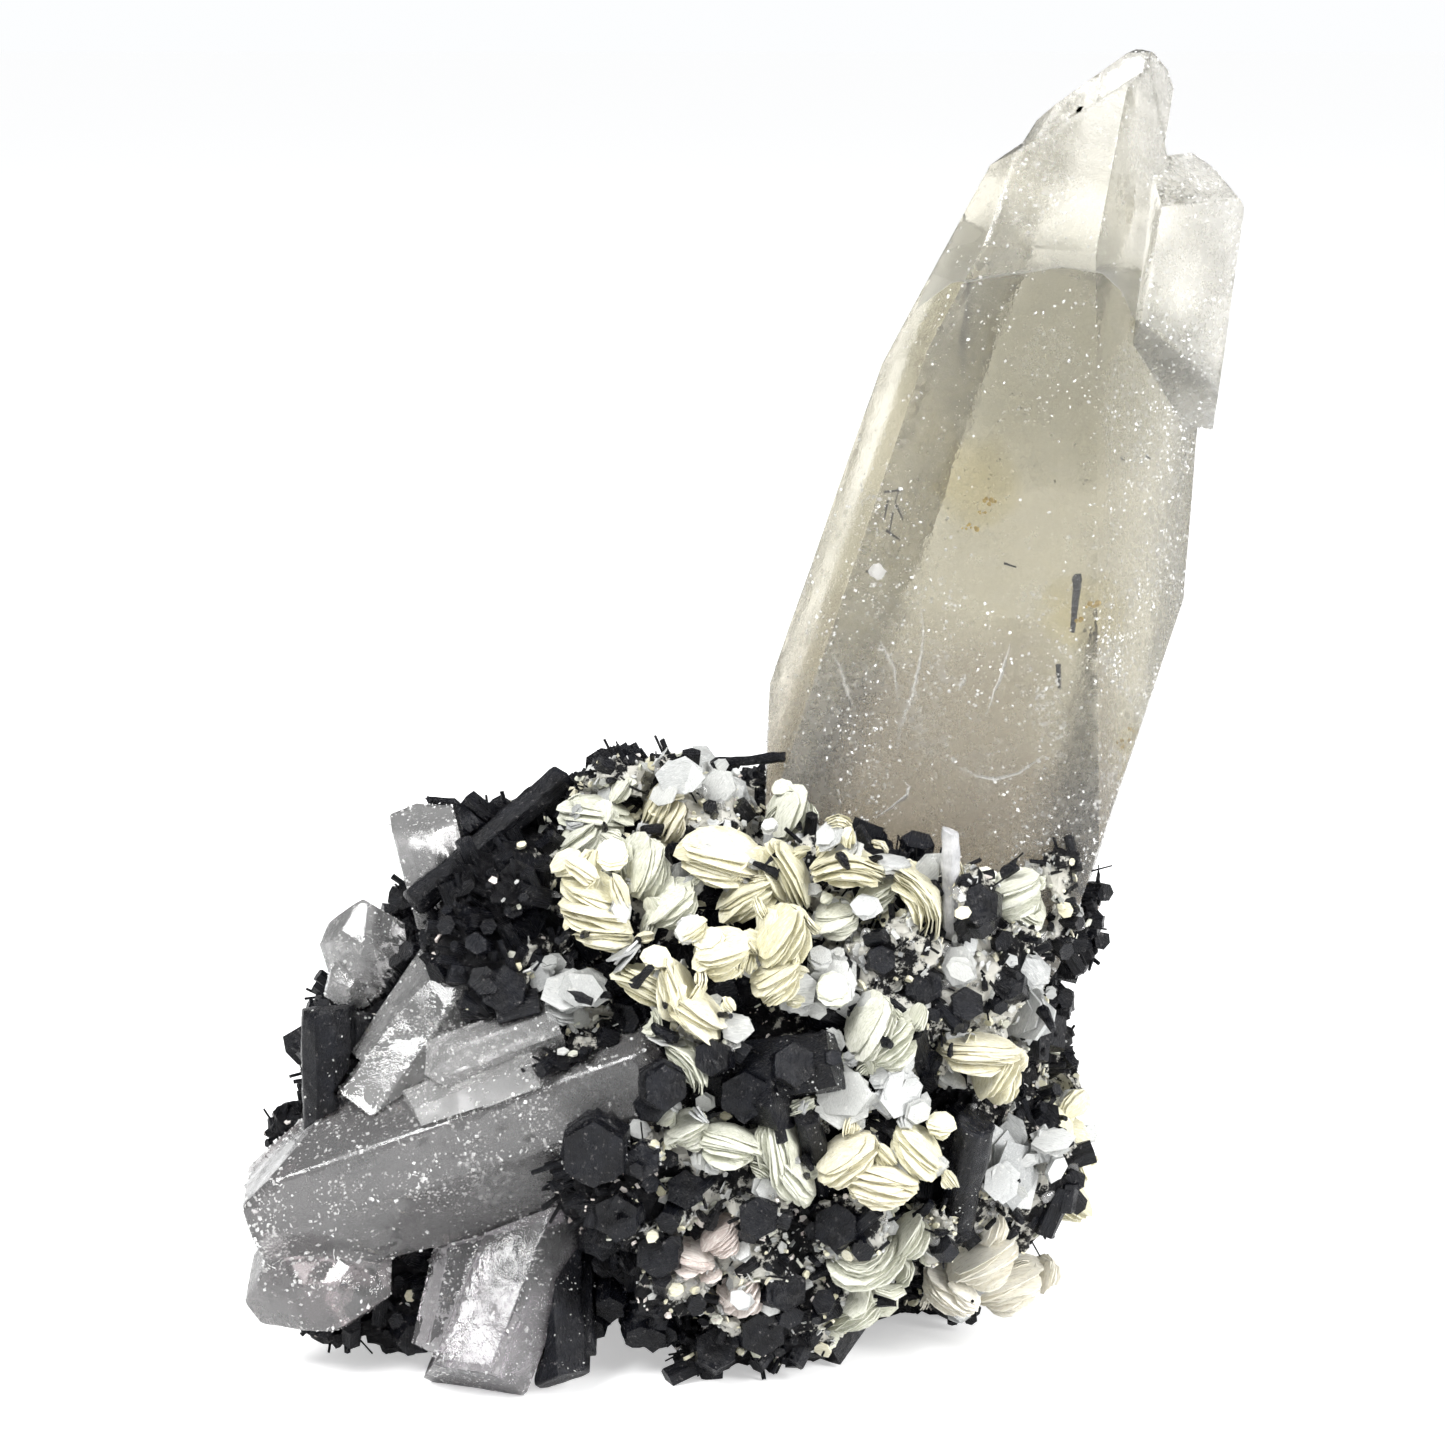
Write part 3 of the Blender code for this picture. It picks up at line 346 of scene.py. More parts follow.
def joined(meshes):
    """One mesh from several, each kept with its UV map and attributes."""
    objects = [put("part", mesh) for mesh in meshes]
    first = objects[0]
    with bpy.context.temp_override(
        active_object=first, object=first, selected_objects=objects, selected_editable_objects=objects,
    ):
        bpy.ops.object.join()
    mesh = first.data
    bpy.data.objects.remove(first)
    return mesh


def node_shape(node):
    """A bmesh copy of a solid, with its loose triangles merged."""
    shape = bmesh.new()
    shape.from_mesh(frame["nodes"][node].data)
    bmesh.ops.remove_doubles(shape, verts=shape.verts[:], dist=MERGE_REACH)
    return shape


def flat_faced(node):
    """The same, with triangles that lie in one plane made into one face."""
    shape = node_shape(node)
    bmesh.ops.dissolve_limit(shape, angle_limit=FLAT_ANGLE, verts=shape.verts[:], edges=shape.edges[:])
    return shape


def add_values(mesh, **lists):
    """Point attributes from lists: three numbers for each point are a vector."""
    for name, values in lists.items():
        if len(values) == 3 * len(mesh.vertices):
            mesh.attributes.new(name, "FLOAT_VECTOR", "POINT").data.foreach_set("vector", values)
        else:
            mesh.attributes.new(name, "FLOAT", "POINT").data.foreach_set("value", values)


def push(shape, moves):
    """Move each point by its own step, and none below the ground."""
    for vert, move in zip(shape.verts, moves):
        vert.co += move
        vert.co.z = max(vert.co.z, 0.0)


def smooth_faces(mesh, angle):
    """Smooth shading that stays sharp at edges over an angle in degrees."""
    for face in mesh.polygons:
        face.use_smooth = True
    mesh.set_sharp_from_angle(angle=math.radians(angle))


def refine(shape, longest):
    """Split long edges until none is longer than a length."""
    for _ in range(12):
        long_edges = [edge for edge in shape.edges if edge.calc_length() > longest]
        if not long_edges:
            break
        bmesh.ops.subdivide_edges(shape, edges=long_edges, cuts=1)
        bmesh.ops.triangulate(shape, faces=shape.faces[:])


def crystal_mesh(node, bevel, longest, relief):
    """A solid's crystal with worn edges and slightly uneven faces."""
    shape = flat_faced(node)
    sharp = [edge for edge in shape.edges if len(edge.link_faces) == 2 and edge.calc_face_angle() > BEVEL_ANGLE]
    bmesh.ops.bevel(shape, geom=sharp, offset=bevel, segments=1, affect="EDGES", clamp_overlap=True)
    bmesh.ops.triangulate(shape, faces=shape.faces[:])
    refine(shape, longest)
    bmesh.ops.recalc_face_normals(shape, faces=shape.faces[:])
    shape.normal_update()
    moves = []
    for vert in shape.verts:
        at = vert.co / MM
        broad = noise.noise(at * 0.22)
        fine = noise.noise(at * 1.1 + Vector((7.0, 3.0, 1.0)))
        moves.append(vert.normal * (broad * relief + fine * relief * 0.45))
    push(shape, moves)
    mesh = mesh_of(shape, node)
    smooth_faces(mesh, 22.0)
    return mesh


# The tall crystal

LEAN = math.radians(13.6)
LEAN_BACK = math.radians(3.0)
TALL = (
    Matrix.Translation(world((15.1, 6.0, 31.7)))
    @ Matrix.Rotation(-LEAN_BACK, 4, "X")
    @ Matrix.Rotation(LEAN, 4, "Y")
    @ Matrix.Scale(MM, 4)
)

# The curved top of the darker core, as across and up the crystal in millimetres
ARCH = [
    (-24.0, 41.0), (-15.0, 44.2), (-13.0, 48.0), (-11.0, 50.5), (-8.4, 51.7), (-6.3, 52.5), (-3.4, 53.7),
    (-0.5, 53.9), (1.4, 53.0), (3.2, 51.2), (5.4, 50.8), (7.7, 49.7), (10.0, 48.4), (13.0, 46.6), (24.0, 41.0),
]
# How much the curved top falls towards the back, so that it is seen edge-on
SIGHT_DROP = math.tan(math.radians(0.4))


def arch_rings(shape, top):
    """The sides of a block on the curved top, from a rule for its upper outline."""
    rings = []
    for depth in (-16.0, 16.0):
        drop = -(depth + 10.0) * SIGHT_DROP
        outline = [(x, z + drop) for x, z in ARCH] + top(drop)
        rings.append([shape.verts.new(TALL @ Vector((x, depth, z))) for x, z in outline])
    count = len(rings[0])
    for step in range(count):
        after = (step + 1) % count
        shape.faces.new((rings[0][step], rings[0][after], rings[1][after], rings[1][step]))
    return rings


def above_arch():
    """The space over the curved top, deep enough to cut the whole crystal."""
    shape = bmesh.new()
    rings = arch_rings(shape, lambda drop: [(24.0, 95.0), (-24.0, 95.0)])
    shape.faces.new(list(reversed(rings[0])))
    shape.faces.new(rings[1])
    bmesh.ops.recalc_face_normals(shape, faces=shape.faces[:])
    bmesh.ops.triangulate(shape, faces=shape.faces[:])
    return mesh_of(shape, "above_arch")


def shrunken(node, depth, longest=0.004):
    """A solid pulled in by a depth along its corners' normals."""
    shape = flat_faced(node)
    bmesh.ops.triangulate(shape, faces=shape.faces[:])
    refine(shape, longest)
    bmesh.ops.recalc_face_normals(shape, faces=shape.faces[:])
    shape.normal_update()
    push(shape, [vert.normal * -depth for vert in shape.verts])
    return mesh_of(shape, node)


def cut_away(mesh, cutter, operation="DIFFERENCE"):
    """A mesh without the part that lies in a cutter, or only that part."""
    whole = put("whole", mesh)
    knife = put("knife", cutter)
    step = whole.modifiers.new("cut", "BOOLEAN")
    step.operation = operation
    step.solver = "MANIFOLD"
    step.object = knife
    made = plain(whole)
    bpy.data.objects.remove(knife)
    return made


def lump(name, detail, rule):
    """A ball whose points are placed by a rule."""
    shape = bmesh.new()
    bmesh.ops.create_icosphere(shape, subdivisions=detail, radius=1.0)
    for vert in shape.verts:
        vert.co = rule(vert.co)
    return mesh_of(shape, name)


def cloud(centre, size, seed, swell=0.28):
    """A rounded cloud inside the tall crystal, in the crystal's own millimetres."""
    def rule(at):
        more = 1.0 + swell * noise.noise(at * 2.2 + Vector((seed * 4.0, 0.0, 0.0)))
        return TALL @ Vector([middle + part * reach * more for middle, part, reach in zip(centre, at, size)])

    return lump("cloud", 4, rule)


def arch_film(thickness):
    """A thin film that follows the curved top of the core, right through the crystal."""
    shape = bmesh.new()
    rings = arch_rings(shape, lambda drop: [(x, z + drop + thickness) for x, z in reversed(ARCH)])
    last = len(rings[0]) - 1
    for ring in rings:
        for step in range(len(ARCH) - 1):
            shape.faces.new((ring[step], ring[step + 1], ring[last - 1 - step], ring[last - step]))
    bmesh.ops.recalc_face_normals(shape, faces=shape.faces[:])
    bmesh.ops.triangulate(shape, faces=shape.faces[:])
    return mesh_of(shape, "arch_film")


# The line between the front face and the frosted right face, as up and across in millimetres
RIGHT_EDGE = [(0.0, 8.2), (14.0, 7.2), (31.3, 5.1), (39.5, 3.1), (46.4, 0.9), (50.0, 2.6), (80.0, 2.6)]


def right_edge(height):
    """How far across the frosted right face begins at a height."""
    for (low, first), (high, second) in zip(RIGHT_EDGE, RIGHT_EDGE[1:]):
        if height <= high:
            return first + (second - first) * max(0.0, height - low) / (high - low)
    return RIGHT_EDGE[-1][1]


def frost_at(point):
    """How frosted the tall crystal is at a point, from 0 to 1."""
    local = TALL.inverted() @ point
    right = min(1.0, max(0.0, (local.x - right_edge(local.z)) / 0.8))
    lower = min(1.0, max(0.0, (30.0 - local.z) / 14.0))
    left = min(1.0, max(0.0, (-9.5 - local.x) / 1.5)) if local.z < 52.0 else 0.0
    tip = min(0.52, max(0.0, (local.z - 53.0) * 0.2))
    level = max(0.32 + 0.34 * lower, 0.80 * right, 0.46 * left, tip)
    return max(level, 0.72) if local.y > 3.0 else level


def narrowed(mesh):
    """The core drawn in towards the front and right faces of the tall crystal."""
    back = TALL.inverted()
    middle = 1.6
    for vert in mesh.vertices:
        local = back @ vert.co
        share = 0.86 if local.x < middle else 0.95
        vert.co = TALL @ Vector((middle + (local.x - middle) * share, local.y * 0.9 - 0.4, local.z))
    return mesh


# Clouds inside the tall crystal, as name, finish, centre and size in its own millimetres
CLOUDS = [
    ("foot_cloud", FOOT_CORE, (-1.0, 0.0, -3.0), (17.0, 11.0, 27.0)),
    ("shoulder_cloud", SHOULDER, (-1.0, -1.0, 46.0), (9.5, 8.0, 9.5)),
    ("yellow_cloud_high", STAIN, (-5.5, -5.0, 36.0), (3.4, 2.6, 3.6)),
    ("yellow_cloud_middle", STAIN, (4.6, -5.0, 28.0), (3.2, 2.2, 3.0)),
    ("yellow_cloud_low", STAIN, (9.4, -2.0, 17.0), (2.2, 2.2, 2.8)),
]


def tall_crystal():
    """The tall crystal, the darker core and clouds inside it, and the film over its core."""
    mesh = crystal_mesh("smoky_quartz_main", 0.00018, 0.0010, 0.00004)
    add_values(mesh, frost=[frost_at(vert.co) for vert in mesh.vertices])
    piece("tall_crystal", mesh, SMOKY, "smoky_quartz", ["smoky_quartz_main"])
    core = cut_away(narrowed(shrunken("smoky_quartz_main", 0.0006)), above_arch())
    piece("tall_crystal_core", core, CORE, "smoky_quartz")
    for name, finish, centre, size in CLOUDS:
        made = cut_away(cloud(centre, size, len(name)), shrunken("smoky_quartz_main", 0.0009), "INTERSECT")
        piece("tall_crystal_" + name, made, finish, "smoky_quartz")
    film = cut_away(arch_film(0.10), shrunken("smoky_quartz_main", 0.0005), "INTERSECT")
    piece("tall_crystal_arch_film", film, VEIL, "smoky_quartz")


tall_crystal()


# The lying crystal and the small clear ones

SMALL_QUARTZ = (
    "clear_quartz_front", "clear_quartz_back", "quartz_block", "quartz_upper_left", "quartz_lump_left",
)


def small_crystals():
    """The lying crystal and the small ones, each in place of its solid."""
    made = crystal_mesh("smoky_quartz_lying", 0.00028, 0.0012, 0.00012)
    piece("lying_crystal", made, GREY, "smoky_quartz", ["smoky_quartz_lying"])
    for node in SMALL_QUARTZ:
        mesh = crystal_mesh(node, 0.00018, 0.0008, 0.00008)
        finish = SHORT_GREY if node == "quartz_block" else CLEAR
        piece(node + "_faces", mesh, finish, "clear_quartz", [node])


small_crystals()


# Muscovite books of each group, as centre, width, depth, thickness, turn, tip and bend

BOOKS = {
    "top": (WHITE, [
        ((-3.9, -2.6, 44.6), 4.2, 4.4, 1.0, 14.0, 84.0, 9.0),
        ((-1.4, -2.2, 44.2), 3.6, 4.0, 1.0, -22.0, 78.0, 9.0),
    ]),
    "top_left": (YELLOW, [
        ((-7.0, -4.2, 44.0), 3.8, 4.0, 1.2, -62.0, 24.0, 12.0),
        ((-5.8, -5.6, 43.0), 3.0, 3.6, 1.1, -66.0, 34.0, 12.0),
    ]),
    "left_crown": (GREEN, [
        ((-11.4, -4.6, 43.4), 4.8, 4.4, 2.6, 12.0, 38.0, 12.0),
        ((-12.6, -6.4, 42.0), 3.2, 3.6, 1.8, -35.0, 40.0, 12.0),
    ]),
    "right_crown": (GREEN, [((3.2, -5.4, 43.6), 4.0, 4.0, 1.7, -68.0, 56.0, 12.0)]),
    "great": (YELLOW, [
        ((-1.6, -11.6, 42.0), 6.2, 5.0, 2.5, 14.0, 46.0, 17.0),
        ((0.0, -12.8, 39.0), 5.0, 4.0, 1.8, -32.0, 34.0, 15.0),
    ]),
    "oval": (YELLOW, [((3.6, -12.0, 40.4), 4.9, 4.4, 2.5, 62.0, 34.0, 15.0)]),
    "pale": (GREEN, [
        ((-8.0, -10.8, 40.6), 4.2, 5.0, 2.2, -70.0, 58.0, 12.0),
        ((-5.6, -12.6, 38.2), 3.8, 4.0, 2.0, -40.0, 52.0, 12.0),
    ]),
    "fan": (YELLOW, [
        ((-11.2, -13.0, 39.4), 4.8, 4.4, 1.5, 24.0, 44.0, 12.0),
        ((-11.0, -14.0, 38.0), 5.4, 4.4, 1.5, 16.0, 32.0, 12.0),
        ((-10.4, -14.4, 36.6), 4.4, 4.0, 1.4, 6.0, 20.0, 12.0),
    ]),
    "centre": (YELLOW, [
        ((-1.8, -17.4, 35.6), 3.8, 4.4, 2.4, -20.0, 44.0, 12.0),
        ((2.4, -16.8, 36.6), 4.4, 4.6, 2.2, -58.0, 50.0, 12.0),
        ((2.2, -17.4, 33.8), 3.8, 4.0, 1.9, -35.0, 42.0, 12.0),
    ]),
    "lower_left": (YELLOW, [((-7.0, -16.6, 33.2), 5.0, 4.2, 1.7, 26.0, 20.0, 15.0)]),
    "sheaf": (YELLOW, [
        ((-4.6, -18.2, 32.6), 4.6, 4.0, 1.5, 72.0, 40.0, 12.0),
        ((-3.2, -18.8, 31.4), 4.6, 4.2, 1.6, 34.0, 36.0, 12.0),
    ]),
    "plates": (WHITE, [
        ((3.8, -16.0, 32.3), 3.0, 3.4, 1.1, -10.0, 74.0, 12.0),
        ((6.6, -15.2, 32.7), 3.6, 4.2, 1.2, 20.0, 70.0, 12.0),
    ]),
    "arc_left": (YELLOW, [((8.0, -13.4, 41.6), 5.8, 4.4, 1.9, 4.0, 22.0, 24.0)]),
    "under_arc": (GREEN, [
        ((7.0, -12.8, 37.2), 3.0, 3.8, 1.6, -15.0, 48.0, 12.0),
        ((9.8, -12.4, 38.9), 3.0, 3.6, 1.4, -28.0, 34.0, 12.0),
    ]),
    "arc_right": (YELLOW, [((14.0, -13.0, 38.9), 6.2, 4.4, 1.9, 62.0, 22.0, 26.0)]),
    "green": (GREEN, [
        ((20.4, -8.6, 38.4), 4.4, 4.2, 2.0, -22.0, 44.0, 12.0),
        ((21.8, -6.4, 36.4), 3.4, 4.0, 1.6, 38.0, 52.0, 12.0),
    ]),
    "flake": (WHITE, [((16.4, -13.2, 33.6), 2.6, 3.6, 1.0, -14.0, 68.0, 12.0)]),
    "big": (GREEN, [
        ((9.2, -16.6, 29.6), 4.8, 5.2, 1.9, -62.0, 50.0, 12.0),
        ((10.6, -16.8, 28.6), 4.2, 4.6, 1.7, -38.0, 40.0, 12.0),
    ]),
    "flat": (YELLOW, [
        ((17.8, -13.6, 27.2), 5.8, 4.4, 1.6, 3.0, 22.0, 9.0),
        ((18.8, -12.8, 25.0), 3.6, 4.4, 1.7, -60.0, 52.0, 12.0),
    ]),
    "side": (WHITE, [((21.6, -8.4, 28.4), 3.8, 4.2, 1.6, -66.0, 48.0, 12.0)]),
    "ring": (GREEN, [((-3.7, -18.4, 27.6), 4.8, 4.0, 1.3, 52.0, 20.0, 24.0)]),
    "low_arc": (GREEN, [
        ((-1.0, -19.4, 21.6), 4.4, 3.8, 1.9, 14.0, 28.0, 15.0),
        ((-4.4, -18.6, 22.4), 3.0, 3.4, 1.7, -32.0, 46.0, 12.0),
    ]),
    "tall": (GREEN, [
        ((3.2, -18.2, 20.6), 5.4, 4.2, 1.8, 76.0, 44.0, 12.0),
        ((4.0, -18.0, 18.6), 4.0, 4.0, 1.6, 52.0, 38.0, 12.0),
    ]),
    "sail": (WHITE, [
        ((7.6, -17.4, 24.6), 4.4, 4.4, 1.3, -8.0, 70.0, 12.0),
        ((11.6, -17.0, 24.6), 3.6, 4.4, 1.3, 64.0, 58.0, 12.0),
    ]),
    "yellow": (YELLOW, [
        ((7.6, -18.0, 20.0), 4.6, 4.4, 2.2, -36.0, 44.0, 12.0),
        ((10.4, -18.6, 18.6), 5.0, 4.4, 2.2, 12.0, 36.0, 12.0),
        ((13.2, -17.4, 20.2), 4.2, 4.4, 2.1, 44.0, 48.0, 12.0),
    ]),
    "bottom_arc": (GREEN, [
        ((9.4, -14.4, 10.4), 6.4, 4.2, 1.7, -14.0, 18.0, -18.0),
        ((12.4, -14.4, 12.6), 3.4, 3.8, 1.5, -58.0, 38.0, 12.0),
    ]),
    "right": (YELLOW, [
        ((24.6, -1.4, 18.4), 4.8, 5.0, 2.4, 58.0, 44.0, 12.0),
        ((26.6, 0.4, 14.8), 4.6, 5.0, 2.4, 72.0, 38.0, 12.0),
        ((25.6, -1.8, 12.2), 4.2, 4.4, 2.0, 36.0, 44.0, 12.0),
    ]),
    "grey": (WHITE, [((20.4, -9.8, 16.4), 6.4, 4.4, 2.2, 84.0, 58.0, 12.0)]),
    # These books face down into shade; their paler mica is painted light over a cream colour
    "low_right": (CREAM_PAINTED_LIGHT, [
        ((18.6, -7.4, 8.8), 5.0, 4.6, 2.3, -30.0, 46.0, 12.0),
        ((20.6, -4.4, 6.0), 5.4, 4.8, 2.4, -18.0, 38.0, 12.0),
        ((16.4, -6.4, 6.0), 4.4, 4.4, 2.0, 30.0, 44.0, 12.0),
    ]),
    "foot": (GREEN, [((8.4, -9.2, 5.6), 4.6, 4.4, 1.9, -32.0, 36.0, 12.0)]),
    "pink": (PINK, [
        ((-1.8, -16.6, 13.4), 2.8, 3.6, 1.6, -38.0, 50.0, 12.0),
        ((-3.8, -16.0, 11.6), 2.8, 3.4, 1.6, 20.0, 56.0, 12.0),
    ]),
    "rose": (PINK, [((-0.4, -14.4, 8.4), 3.2, 3.8, 1.7, -44.0, 50.0, 12.0)]),
    "glint": (WHITE, [((-13.0, -13.6, 31.6), 4.4, 4.0, 1.4, -10.0, 48.0, 12.0)]),
    "back_high": (YELLOW, [((-4.0, 15.0, 34.0), 5.0, 4.6, 2.2, 20.0, 140.0, 12.0)]),
    "back_middle": (GREEN, [((2.0, 18.2, 22.0), 5.4, 4.6, 2.4, -15.0, 145.0, 12.0)]),
    "back_left": (YELLOW, [((-20.0, 14.6, 20.0), 5.0, 4.6, 2.2, 35.0, 140.0, 12.0)]),
    "back_right": (YELLOW, [((20.0, 16.6, 16.0), 5.2, 4.6, 2.4, -35.0, 138.0, 12.0)]),
}


def named_inputs(tree, inputs):
    """Declare a geometry tree's inputs and its one output, and return the input node."""
    kinds = {"geometry": "NodeSocketGeometry", "number": "NodeSocketFloat", "count": "NodeSocketInt",
             "finish": "NodeSocketMaterial", "text": "NodeSocketString"}
    for name, kind in inputs:
        tree.interface.new_socket(name, in_out="INPUT", socket_type=kinds[kind])
    tree.interface.new_socket("Result", in_out="OUTPUT", socket_type="NodeSocketGeometry")
    return new(tree, "NodeGroupInput").outputs


def xyz(tree, x=0.0, y=0.0, z=0.0):
    """Three numbers as one vector."""
    return new(tree, "ShaderNodeCombineXYZ", {"X": x, "Y": y, "Z": z}).outputs[0]


def chance_of(tree, seed, low, high, salt):
    """A random number, or vector, for each point or copy."""
    vector = isinstance(low, tuple)
    made = new(tree, "FunctionNodeRandomValue", data_type="FLOAT_VECTOR" if vector else "FLOAT")
    made.inputs[0 if vector else 2].default_value = low
    made.inputs[1 if vector else 3].default_value = high
    tree.links.new(num(tree, "ADD", seed, float(salt)), made.inputs["Seed"])
    return made.outputs[0 if vector else 1]


def stored(tree, solid, name, value, domain, kind="FLOAT"):
    """A geometry with one more named attribute."""
    inputs = {"Geometry": solid, "Name": name, "Value": value}
    return new(tree, "GeometryNodeStoreNamedAttribute", inputs, domain=domain, data_type=kind).outputs[0]


def moved(tree, solid, **inputs):
    """A geometry with its points moved."""
    return new(tree, "GeometryNodeSetPosition", {"Geometry": solid, **inputs}).outputs[0]


def cylinder(tree, sides, radius, ends):
    """A cylinder one unit long."""
    inputs = {"Vertices": sides, "Side Segments": 1, "Fill Segments": 1, "Radius": radius, "Depth": 1.0}
    return new(tree, "GeometryNodeMeshCylinder", inputs, fill_type=ends).outputs


def copies(tree, points, shape, turn, size):
    """One copy of a shape on each point."""
    inputs = {"Points": points, "Instance": shape, "Rotation": turn, "Scale": size}
    return new(tree, "GeometryNodeInstanceOnPoints", inputs).outputs[0]


def realized(tree, made):
    """Copies turned into plain geometry."""
    return new(tree, "GeometryNodeRealizeInstances", {"Geometry": made}).outputs[0]


def result(tree, solid, finish):
    """The tree's output, with its material set."""
    solid = new(tree, "GeometryNodeSetMaterial", {"Geometry": solid, "Material": finish}).outputs[0]
    new(tree, "NodeGroupOutput", {"Result": solid})


def book_tree():
    """A stack of thin pages that fan out in front and curl around one line."""
    tree = bpy.data.node_groups.new("mica_book", "GeometryNodeTree")
    given = named_inputs(tree, [
        ("Base", "geometry"), ("Width", "number"), ("Depth", "number"), ("Thickness", "number"),
        ("Curl radius", "number"), ("Fan", "number"), ("Ragged", "number"), ("Splay", "number"),
        ("Pages", "count"), ("Corners", "count"), ("Seed", "count"), ("Shade", "number"), ("Finish", "finish"),
    ])
    pages, seed, thickness = given["Pages"], given["Seed"], given["Thickness"]
    width, depth, radius = given["Width"], given["Depth"], given["Curl radius"]

    def chance(low, high, salt):
        return chance_of(tree, seed, low, high, salt)

    # A line of points, one for each page, with the pages narrower at both ends of the stack
    pitch = num(tree, "DIVIDE", thickness, pages)
    first = num(tree, "MULTIPLY", num(tree, "SUBTRACT", pages, 1.0), num(tree, "MULTIPLY", pitch, -0.5))
    spacing = {"Count": pages, "Start Location": xyz(tree, z=first), "Offset": xyz(tree, z=pitch)}
    line = new(tree, "GeometryNodeMeshLine", spacing).outputs[0]
    index = new(tree, "GeometryNodeInputIndex").outputs[0]
    level = num(tree, "SUBTRACT", num(tree, "DIVIDE", num(tree, "ADD", index, 0.5), pages), 0.5)
    lens = num(tree, "SUBTRACT", 1.0, num(tree, "MULTIPLY", num(tree, "MULTIPLY", level, level), 0.45))
    jitter = chance((-0.08, -0.13, -0.3), (0.08, 0.13, 0.3), 3)
    jitter = vec(tree, "MULTIPLY", jitter, xyz(tree, width, depth, pitch))
    line = moved(tree, line, Offset=jitter)

    # The pages, each a flat disc of its own size and turn
    page = cylinder(tree, given["Corners"], 0.5, "TRIANGLE_FAN")["Mesh"]
    across = num(tree, "MULTIPLY", num(tree, "MULTIPLY", width, lens), chance(0.86, 1.05, 5))
    into = num(tree, "MULTIPLY", num(tree, "MULTIPLY", depth, lens), chance(0.84, 1.06, 7))
    size = xyz(tree, across, into, num(tree, "MULTIPLY", pitch, chance(0.5, 0.85, 9)))
    splay = xyz(tree, given["Splay"], given["Splay"], 1.0)
    turn = vec(tree, "MULTIPLY", chance((-0.02, -0.03, -0.5), (0.02, 0.03, 0.5), 11), splay)
    stack = copies(tree, line, page, turn, size)
    stack = stored(tree, stack, "leaf", chance(0.0, 1.0, 13), "INSTANCE")
    solid = stored(tree, realized(tree, stack), "book", given["Shade"], "POINT")

    # Ragged outlines
    place = new(tree, "GeometryNodeInputPosition").outputs[0]
    flat = vec(tree, "MULTIPLY", place, (1.0, 1.0, 8.0))
    shift = vec(tree, "ADD", flat, xyz(tree, num(tree, "MULTIPLY", seed, 0.37)))
    grain = {"Vector": shift, "Scale": 1.5, "Detail": 3.0, "Roughness": 0.75}
    wobble = new(tree, "ShaderNodeTexNoise", grain).outputs["Color"]
    wobble = vec(tree, "MULTIPLY", vec(tree, "SUBTRACT", wobble, (0.5, 0.5, 0.5)), (1.0, 1.0, 0.07))
    radial = vec(tree, "SCALE", wobble)
    tree.links.new(given["Ragged"], radial.node.inputs["Scale"])
    solid = moved(tree, solid, Offset=radial)
    solid = stored(tree, solid, "lay", shift, "POINT", "FLOAT_VECTOR")

    # The whole stack fans out in front, curls around one line and droops a little
    parts = new(tree, "ShaderNodeSeparateXYZ", {0: place}).outputs
    forward = num(tree, "DIVIDE", num(tree, "MULTIPLY", parts["Y"], -2.0), depth)
    spread = num(tree, "ADD", 0.9, num(tree, "MULTIPLY", forward, given["Fan"]))
    angle = num(tree, "DIVIDE", parts["X"], radius)
    reach = num(tree, "ADD", radius, num(tree, "MULTIPLY", parts["Z"], spread))
    curled_x = num(tree, "MULTIPLY", reach, num(tree, "SINE", angle))
    curled_z = num(tree, "SUBTRACT", num(tree, "MULTIPLY", reach, num(tree, "COSINE", angle)), radius)
    droop = num(tree, "MULTIPLY", num(tree, "MULTIPLY", parts["Y"], parts["Y"]), -0.05)
    curled = xyz(tree, curled_x, parts["Y"], num(tree, "ADD", curled_z, droop))
    result(tree, moved(tree, solid, Position=curled), given["Finish"])
    return tree


def run_tree(tree, settings, base=None):
    """The plain mesh that a geometry tree makes."""
    holder = put("holder", base or bpy.data.meshes.new("empty"))
    step = holder.modifiers.new("tree", "NODES")
    step.node_group = tree
    keys = {item.name: item.identifier for item in tree.interface.items_tree if item.in_out == "INPUT"}
    for name, value in settings.items():
        step[keys[name]] = value
    return plain(holder)


BOOK_TREE = book_tree()
# The thickness of a page, the most pages in a book, and how far books tip compared with the table
PAGE_PITCH = 0.11
MOST_PAGES = 24
PAGE_TIP = 0.62


def book_mesh(at, width, depth, thick, turn, tip, bend, seed, finish, corners=13):
    """One curved book, in place."""
    chance = random.Random(seed)
    pages = max(4, min(MOST_PAGES, round(thick / PAGE_PITCH)))
    curl = math.copysign((width / 3.0) / math.radians(max(abs(bend), 6.0) * 1.8), bend)
    settings = {
        "Width": width * 1.04, "Depth": depth, "Thickness": thick, "Curl radius": curl,
        "Fan": chance.uniform(0.30, 0.60), "Ragged": min(0.8, 0.20 * width), "Splay": 1.0, "Pages": pages,
        "Corners": corners, "Seed": seed, "Shade": chance.random() ** 2, "Finish": finish,
    }
    if finish is WHITE:
        settings.update({
            "Pages": max(3, pages // 3), "Splay": 9.0, "Ragged": 0.3, "Curl radius": 14.0,
            "Corners": 6, "Fan": 0.2,
        })
    mesh = run_tree(BOOK_TREE, settings)
    tip *= 1.0 if finish is WHITE else PAGE_TIP
    turned = Matrix.Rotation(math.radians(turn), 4, "Y") @ Matrix.Rotation(math.radians(tip), 4, "X")
    mesh.transform(Matrix.Translation(world(at)) @ Matrix.Scale(MM, 4) @ turned)
    return mesh


